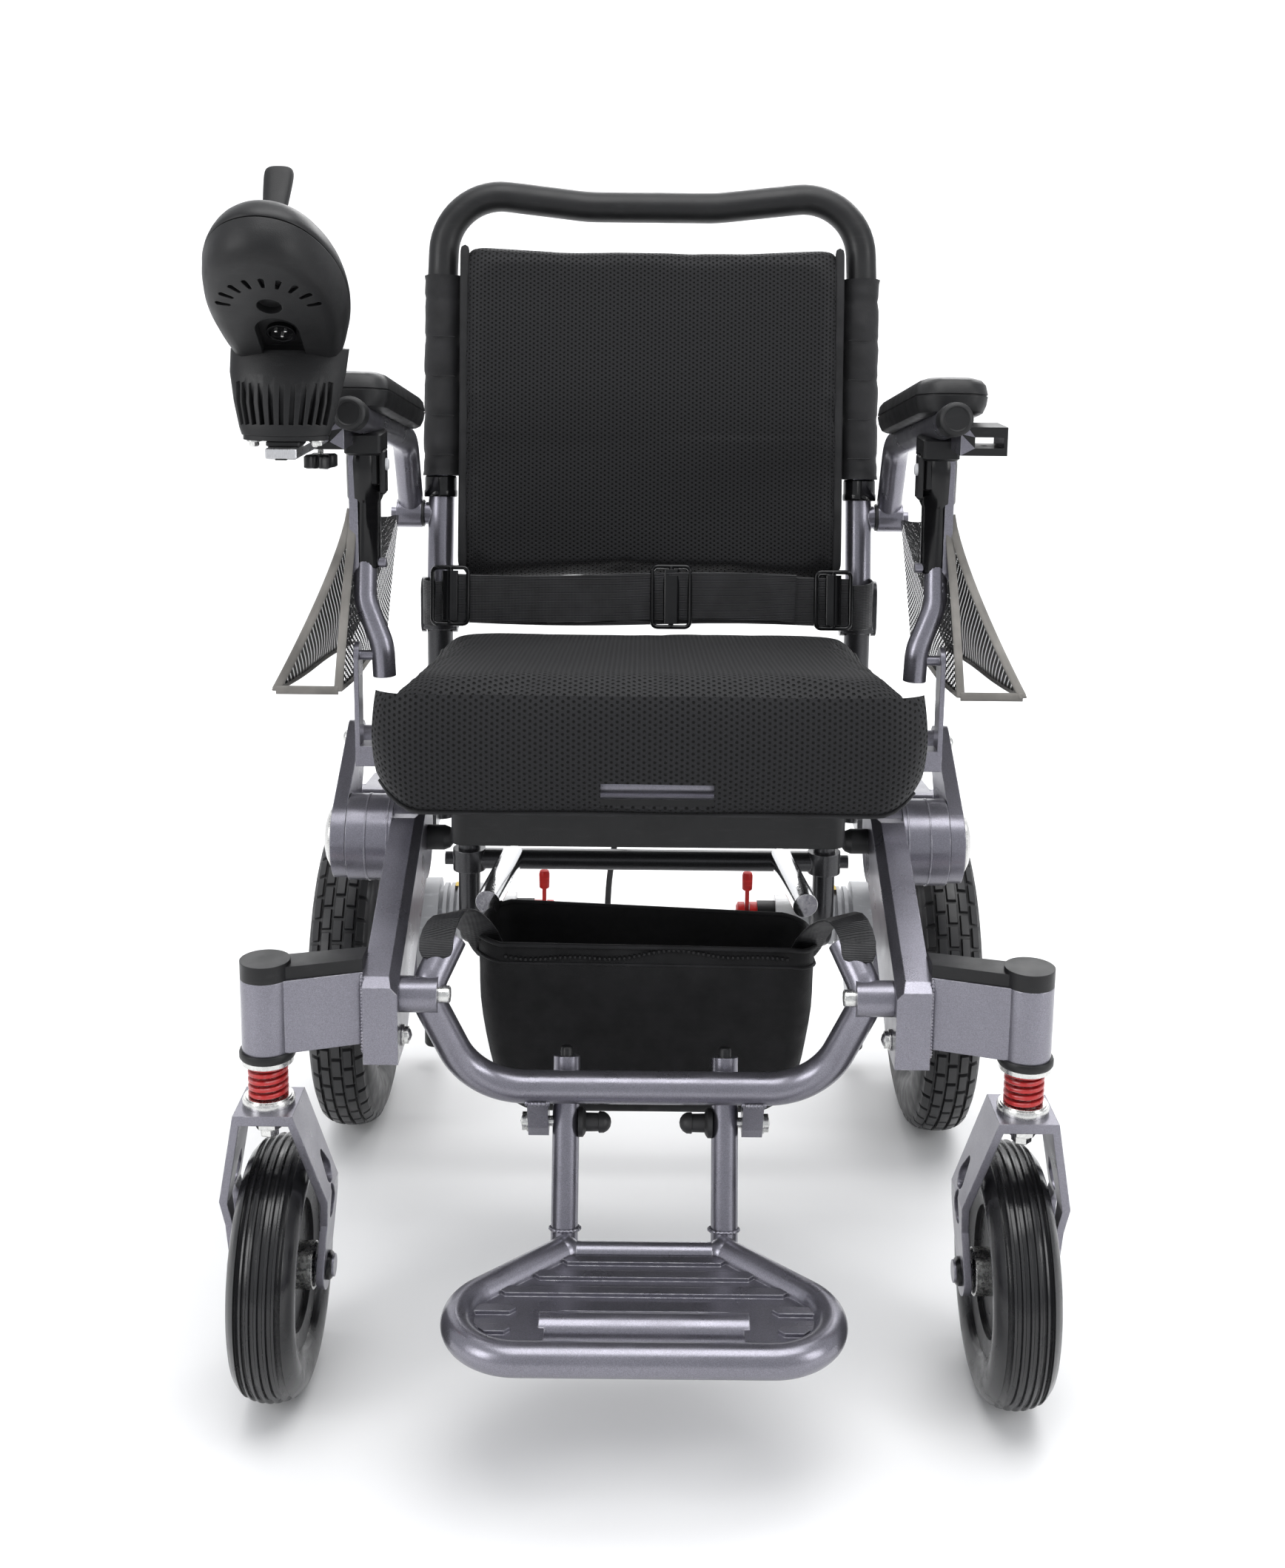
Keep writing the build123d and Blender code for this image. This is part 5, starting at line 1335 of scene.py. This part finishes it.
def vent_cutters():
    """Slots and the socket's recess in the lower shell."""
    cuts, fan_r = [], 31
    for k in range(9):
        a = math.radians(-76 + 19 * k)
        cuts.append(pill(fan_r * math.sin(a), -22 - fan_r * math.cos(a), a, 11.5, 4.4, -32, -22.5, 0.6))
    cuts += [pill(-25.5 + 8.5 * k, 46, 0, 12, 4.2, -32, -22) for k in range(7)]
    cuts.append(prism(arc(0, -27, 8.5, 0, math.pi / 12, 24), -32, -20))
    arch = arc(0, 2, 15, math.pi, math.pi / 14, 15) + [(15, 32), (-15, 32)]
    cuts.append(prism(arch, -32, -17))
    for k in range(11):
        x = -30 + 6 * k
        cuts.append(pill(x, 76, 0.012 * -x, 22, 3.4, -34, -17))
    return join(*cuts)


def controller_part(name, shape, material, sharp=38, levels=0):
    """A piece of the control unit."""
    return make(name, shape, "control_unit", material, sharp, levels)


def controller_shells():
    """Joystick housing: vented lower shell, domed lid and charging socket."""
    lower = moved(loft([egg_ring(z, grow) for z, grow in SHELL_LOW]), CONTROL)
    bottom = controller_part("controller_underside", lower, matte_black)
    carve(bottom, moved(vent_cutters(), CONTROL))
    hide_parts("controller_bottom")
    upper = moved(loft([egg_ring(z, grow) for z, grow in SHELL_HIGH]), CONTROL)
    lid = controller_part("controller_lid", upper, satin_black, 50, 1)
    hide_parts("controller_top")
    up, spot = (0, 0, 1), (0, 14, 0)
    collar = lathe([(-16.8, 8.4), (-20.5, 8.4), (-20.5, 10.2), (-16.8, 10.2)], spot, up, 32, closed=True)
    face = lathe([(-17.2, 8.4), (-18.2, 8.2), (-18.2, 0.4)], spot, up, 32)
    pins = [lathe([(-18.1, 1.2), (-20, 1.2), (-20.4, 0.2)], (x, y, 0), up, 12)
            for x, y in ((-3.4, 12), (3.4, 12), (0, 18))]
    controller_part("controller_socket", moved(join(collar, face), CONTROL), gloss_black)
    controller_part("controller_socket_pins", moved(join(*pins), CONTROL), zinc)


def controller_skirt():
    """Slotted skirt between the shells and the rail, on an oval flange with two bolts."""
    # radius, shift to the back, height
    levels = ((31, 0, 743), (32.5, 0, 748), (37, 5, 766), (41, 13, 786), (42, 22, 802))
    step = 2 * math.pi / 56
    neck = loft([[(x, y, z) for x, y in arc(RAIL_X, FLANGE_Y + back, r, 0, step, 56, 0.5)]
                 for r, back, z in levels])
    skirt = controller_part("controller_skirt", neck, matte_black)
    slits, section = [], [(-1.7, -4.5), (1.7, -4.5), (1.7, 4.5), (-1.7, 4.5)]
    for k in range(11):
        a = (k - 5) / 5 * 1.15
        foot = (RAIL_X + 29 * math.sin(a), FLANGE_Y - 15 * math.cos(a), 751)
        head = (RAIL_X + 39 * math.sin(a), FLANGE_Y + 6 - 20 * math.cos(a), 779)
        slits.append(sweep([foot, head], section, (math.cos(a), math.sin(a), 0)))
    carve(skirt, join(*slits))
    rim = arc(RAIL_X, FLANGE_Y, FLANGE_HALF_X, 0, 2 * math.pi / 40, 40, FLANGE_HALF_Y / FLANGE_HALF_X)
    controller_part("controller_flange", prism(rim, 739.5, 740.2, 742.4, 743), matte_black)
    heads = [hex_head((RAIL_X + x, -16, 739.4), (0, 0, -1), 8, 4.6) for x in (-22, 22)]
    controller_part("controller_bolts", join(*heads), zinc)


def controller_rail():
    """Bright rail with a black strip that is painted shade of its groove, and the riser up to the flange."""
    x, z, half = RAIL_X, RAIL_Z, RAIL_HALF_H
    bar = block((x - RAIL_HALF_W, -33.5, z - half), (x + RAIL_HALF_W, 145.5, z + half), 0.8)
    # painted shade: a thin black block along the rail's underside and front end stands for its groove
    groove = block((x - 4, -33.7, z - 4.4), (x + 4, 145, z - 3.7), 0.2)
    riser = block((x - 12, -26, z + 3.6), (x + 12, -2, 740), 1.4)
    controller_part("controller_rail", bar, bright_rail)
    controller_part("controller_rail_groove_shade", groove, satin_black)
    controller_part("controller_riser", riser, satin_black)


def joystick():
    """Flat paddle that flares into a ribbed boot."""
    # height, half width, half depth
    levels = ((4, 6.0, 6.0), (11, 6.0, 6.0), (15, 12.6, 12.6), (17, 13.6, 13.6), (18.2, 12.2, 12.2),
              (19.4, 13.0, 13.0), (20.6, 10.8, 10.6), (22, 11.2, 11), (24.4, 8.6, 8), (30, 7.6, 5.2),
              (37, 8.6, 4.8), (52, 9.8, 5.2), (62, 10.4, 5.4), (66.4, 9.8, 5.0), (68.2, 7.6, 3.4))
    rings = []
    for z, a, b in levels:
        ring = []
        for c, d in ring_of(1.0, 36):
            ring.append((math.copysign(a * abs(c) ** 0.8, c), math.copysign(b * abs(d) ** 0.8, d), z))
        rings.append(ring)
    place = CONTROL @ Matrix.Translation((0, -44, 8))
    stick = make("joystick_paddle", moved(loft(rings), place), "stick", matte_black, 60, 1,
                 slot="rubber_black")
    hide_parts("joystick")


def clamp_details():
    """Four-lobed knob on its threaded rod."""
    x, y, z = KNOB_SPOT
    mean_r, lobe = 10.6, 3.6
    rings = []
    for h, grow in ((-16.4, -2.2), (-15.4, 0), (-7, 0), (-5.6, -2)):
        ring = []
        for k in range(64):
            a = 2 * math.pi * k / 64
            r = mean_r + lobe * math.cos(4 * a) ** 3 + grow
            ring.append((x + r * math.cos(a + 0.6), y + r * math.sin(a + 0.6), z + h))
        rings.append(ring)
    knob = make("clamp_knob_lobes", loft(rings), "knob", satin_black, 50)
    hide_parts("clamp_knob")
    thread = []
    for k in range(9):
        thread += [(-5.4 + k * 1.2, 2.45), (-4.8 + k * 1.2, 2.0)]
    make("clamp_knob_thread", lathe(thread, KNOB_SPOT, (0, 0, 1), 20), "knob", zinc)


# ---- stage ------------------------------------------------------------------
def floor_and_backdrop():
    """Pale sweep: floor that curves up far behind the chair."""
    rings = []
    profile = [(-6, 0)] + [(2.6 + 1.6 * math.sin(a), 1.6 - 1.6 * math.cos(a))
                           for a in (math.radians(9 * k) for k in range(11))] + [(4.2, 7)]
    for y, z in profile:
        rings.append([(-9, y, z), (9, y, z)])
    verts = [v for ring in rings for v in ring]
    faces = [(2 * i, 2 * i + 1, 2 * i + 3, 2 * i + 2) for i in range(len(rings) - 1)]
    mesh = bpy.data.meshes.new("floor")
    mesh.from_pydata(verts, [], faces)
    mesh.polygons.foreach_set("use_smooth", [True] * len(mesh.polygons))
    k = Look("studio_floor")
    patches = k.spread(k.noise(3.0), 0.3, 0.7, 0, 1)
    k.set("Base Color", k.mix(patches, (0.80, 0.80, 0.80, 1), (0.83, 0.83, 0.83, 1)))
    k.set("Roughness", 0.6)
    mesh.materials.append(k.done())
    floor = bpy.data.objects.new("floor", mesh)
    bpy.context.scene.collection.objects.link(floor)


def area_light(name, spot, aim, size, power):
    """Soft rectangular light aimed at a point."""
    data = bpy.data.lights.new(name, "AREA")
    data.shape = "RECTANGLE"
    data.size, data.size_y = size
    data.energy = power
    obj = bpy.data.objects.new(name, data)
    obj.location = spot
    obj.rotation_euler = (Vector(aim) - Vector(spot)).to_track_quat("-Z", "Y").to_euler()
    bpy.context.scene.collection.objects.link(obj)


def lights():
    """Softboxes overhead, at both sides and behind, one on the backdrop, and a pale world."""
    world = bpy.data.worlds.new("studio")
    world.use_nodes = True
    sky = world.node_tree.nodes["Background"].inputs
    sky[0].default_value = (0.94, 0.96, 1.0, 1)
    sky[1].default_value = 0.75
    bpy.context.scene.world = world
    chair = (0, 0, 0.4)
    area_light("top_box", (0.2, -0.5, 2.6), chair, (2.2, 1.6), 42)
    area_light("left_box", (-2.4, -1.9, 1.5), chair, (1.2, 1.8), 34)
    area_light("right_box", (2.5, -1.5, 1.3), chair, (1.0, 1.8), 24)
    area_light("rear_box", (0.4, 2.0, 2.0), chair, (2.4, 0.8), 22)
    area_light("wall_box", (0, 1.4, 3.6), (0, 4.2, 1.6), (6, 1.2), 150)
    bpy.context.scene.view_settings.view_transform = "Standard"


def camera():
    """Eye-level view from the front, a little above the seat."""
    data = bpy.data.cameras.new("camera")
    data.lens = LENS_MM
    data.sensor_width = 36
    data.shift_y = LENS_SHIFT
    data.clip_start = 0.01
    data.clip_end = 100
    obj = bpy.data.objects.new("camera", data)
    pitch = Matrix.Rotation(math.radians(CAMERA_PITCH), 4, "X")
    roll = Matrix.Rotation(math.radians(CAMERA_ROLL), 4, "Z")
    obj.matrix_world = Matrix.Translation(CAMERA_SPOT) @ pitch @ roll
    bpy.context.scene.collection.objects.link(obj)
    bpy.context.scene.camera = obj


camera()
lights()
floor_and_backdrop()
finish_cad_nodes()
build_casters()
build_drive()
seat_cushion()
back_pad()
back_sleeves()
handle_grip()
post_collars()
lap_belt()
build_armrests()
arm_supports()
side_nets()
storage_bag()
footrest_details()
seat_skirt()
seat_cord()
seat_slings()
hub_details()
stem_details()
controller_shells()
controller_skirt()
controller_rail()
joystick()
clamp_details()
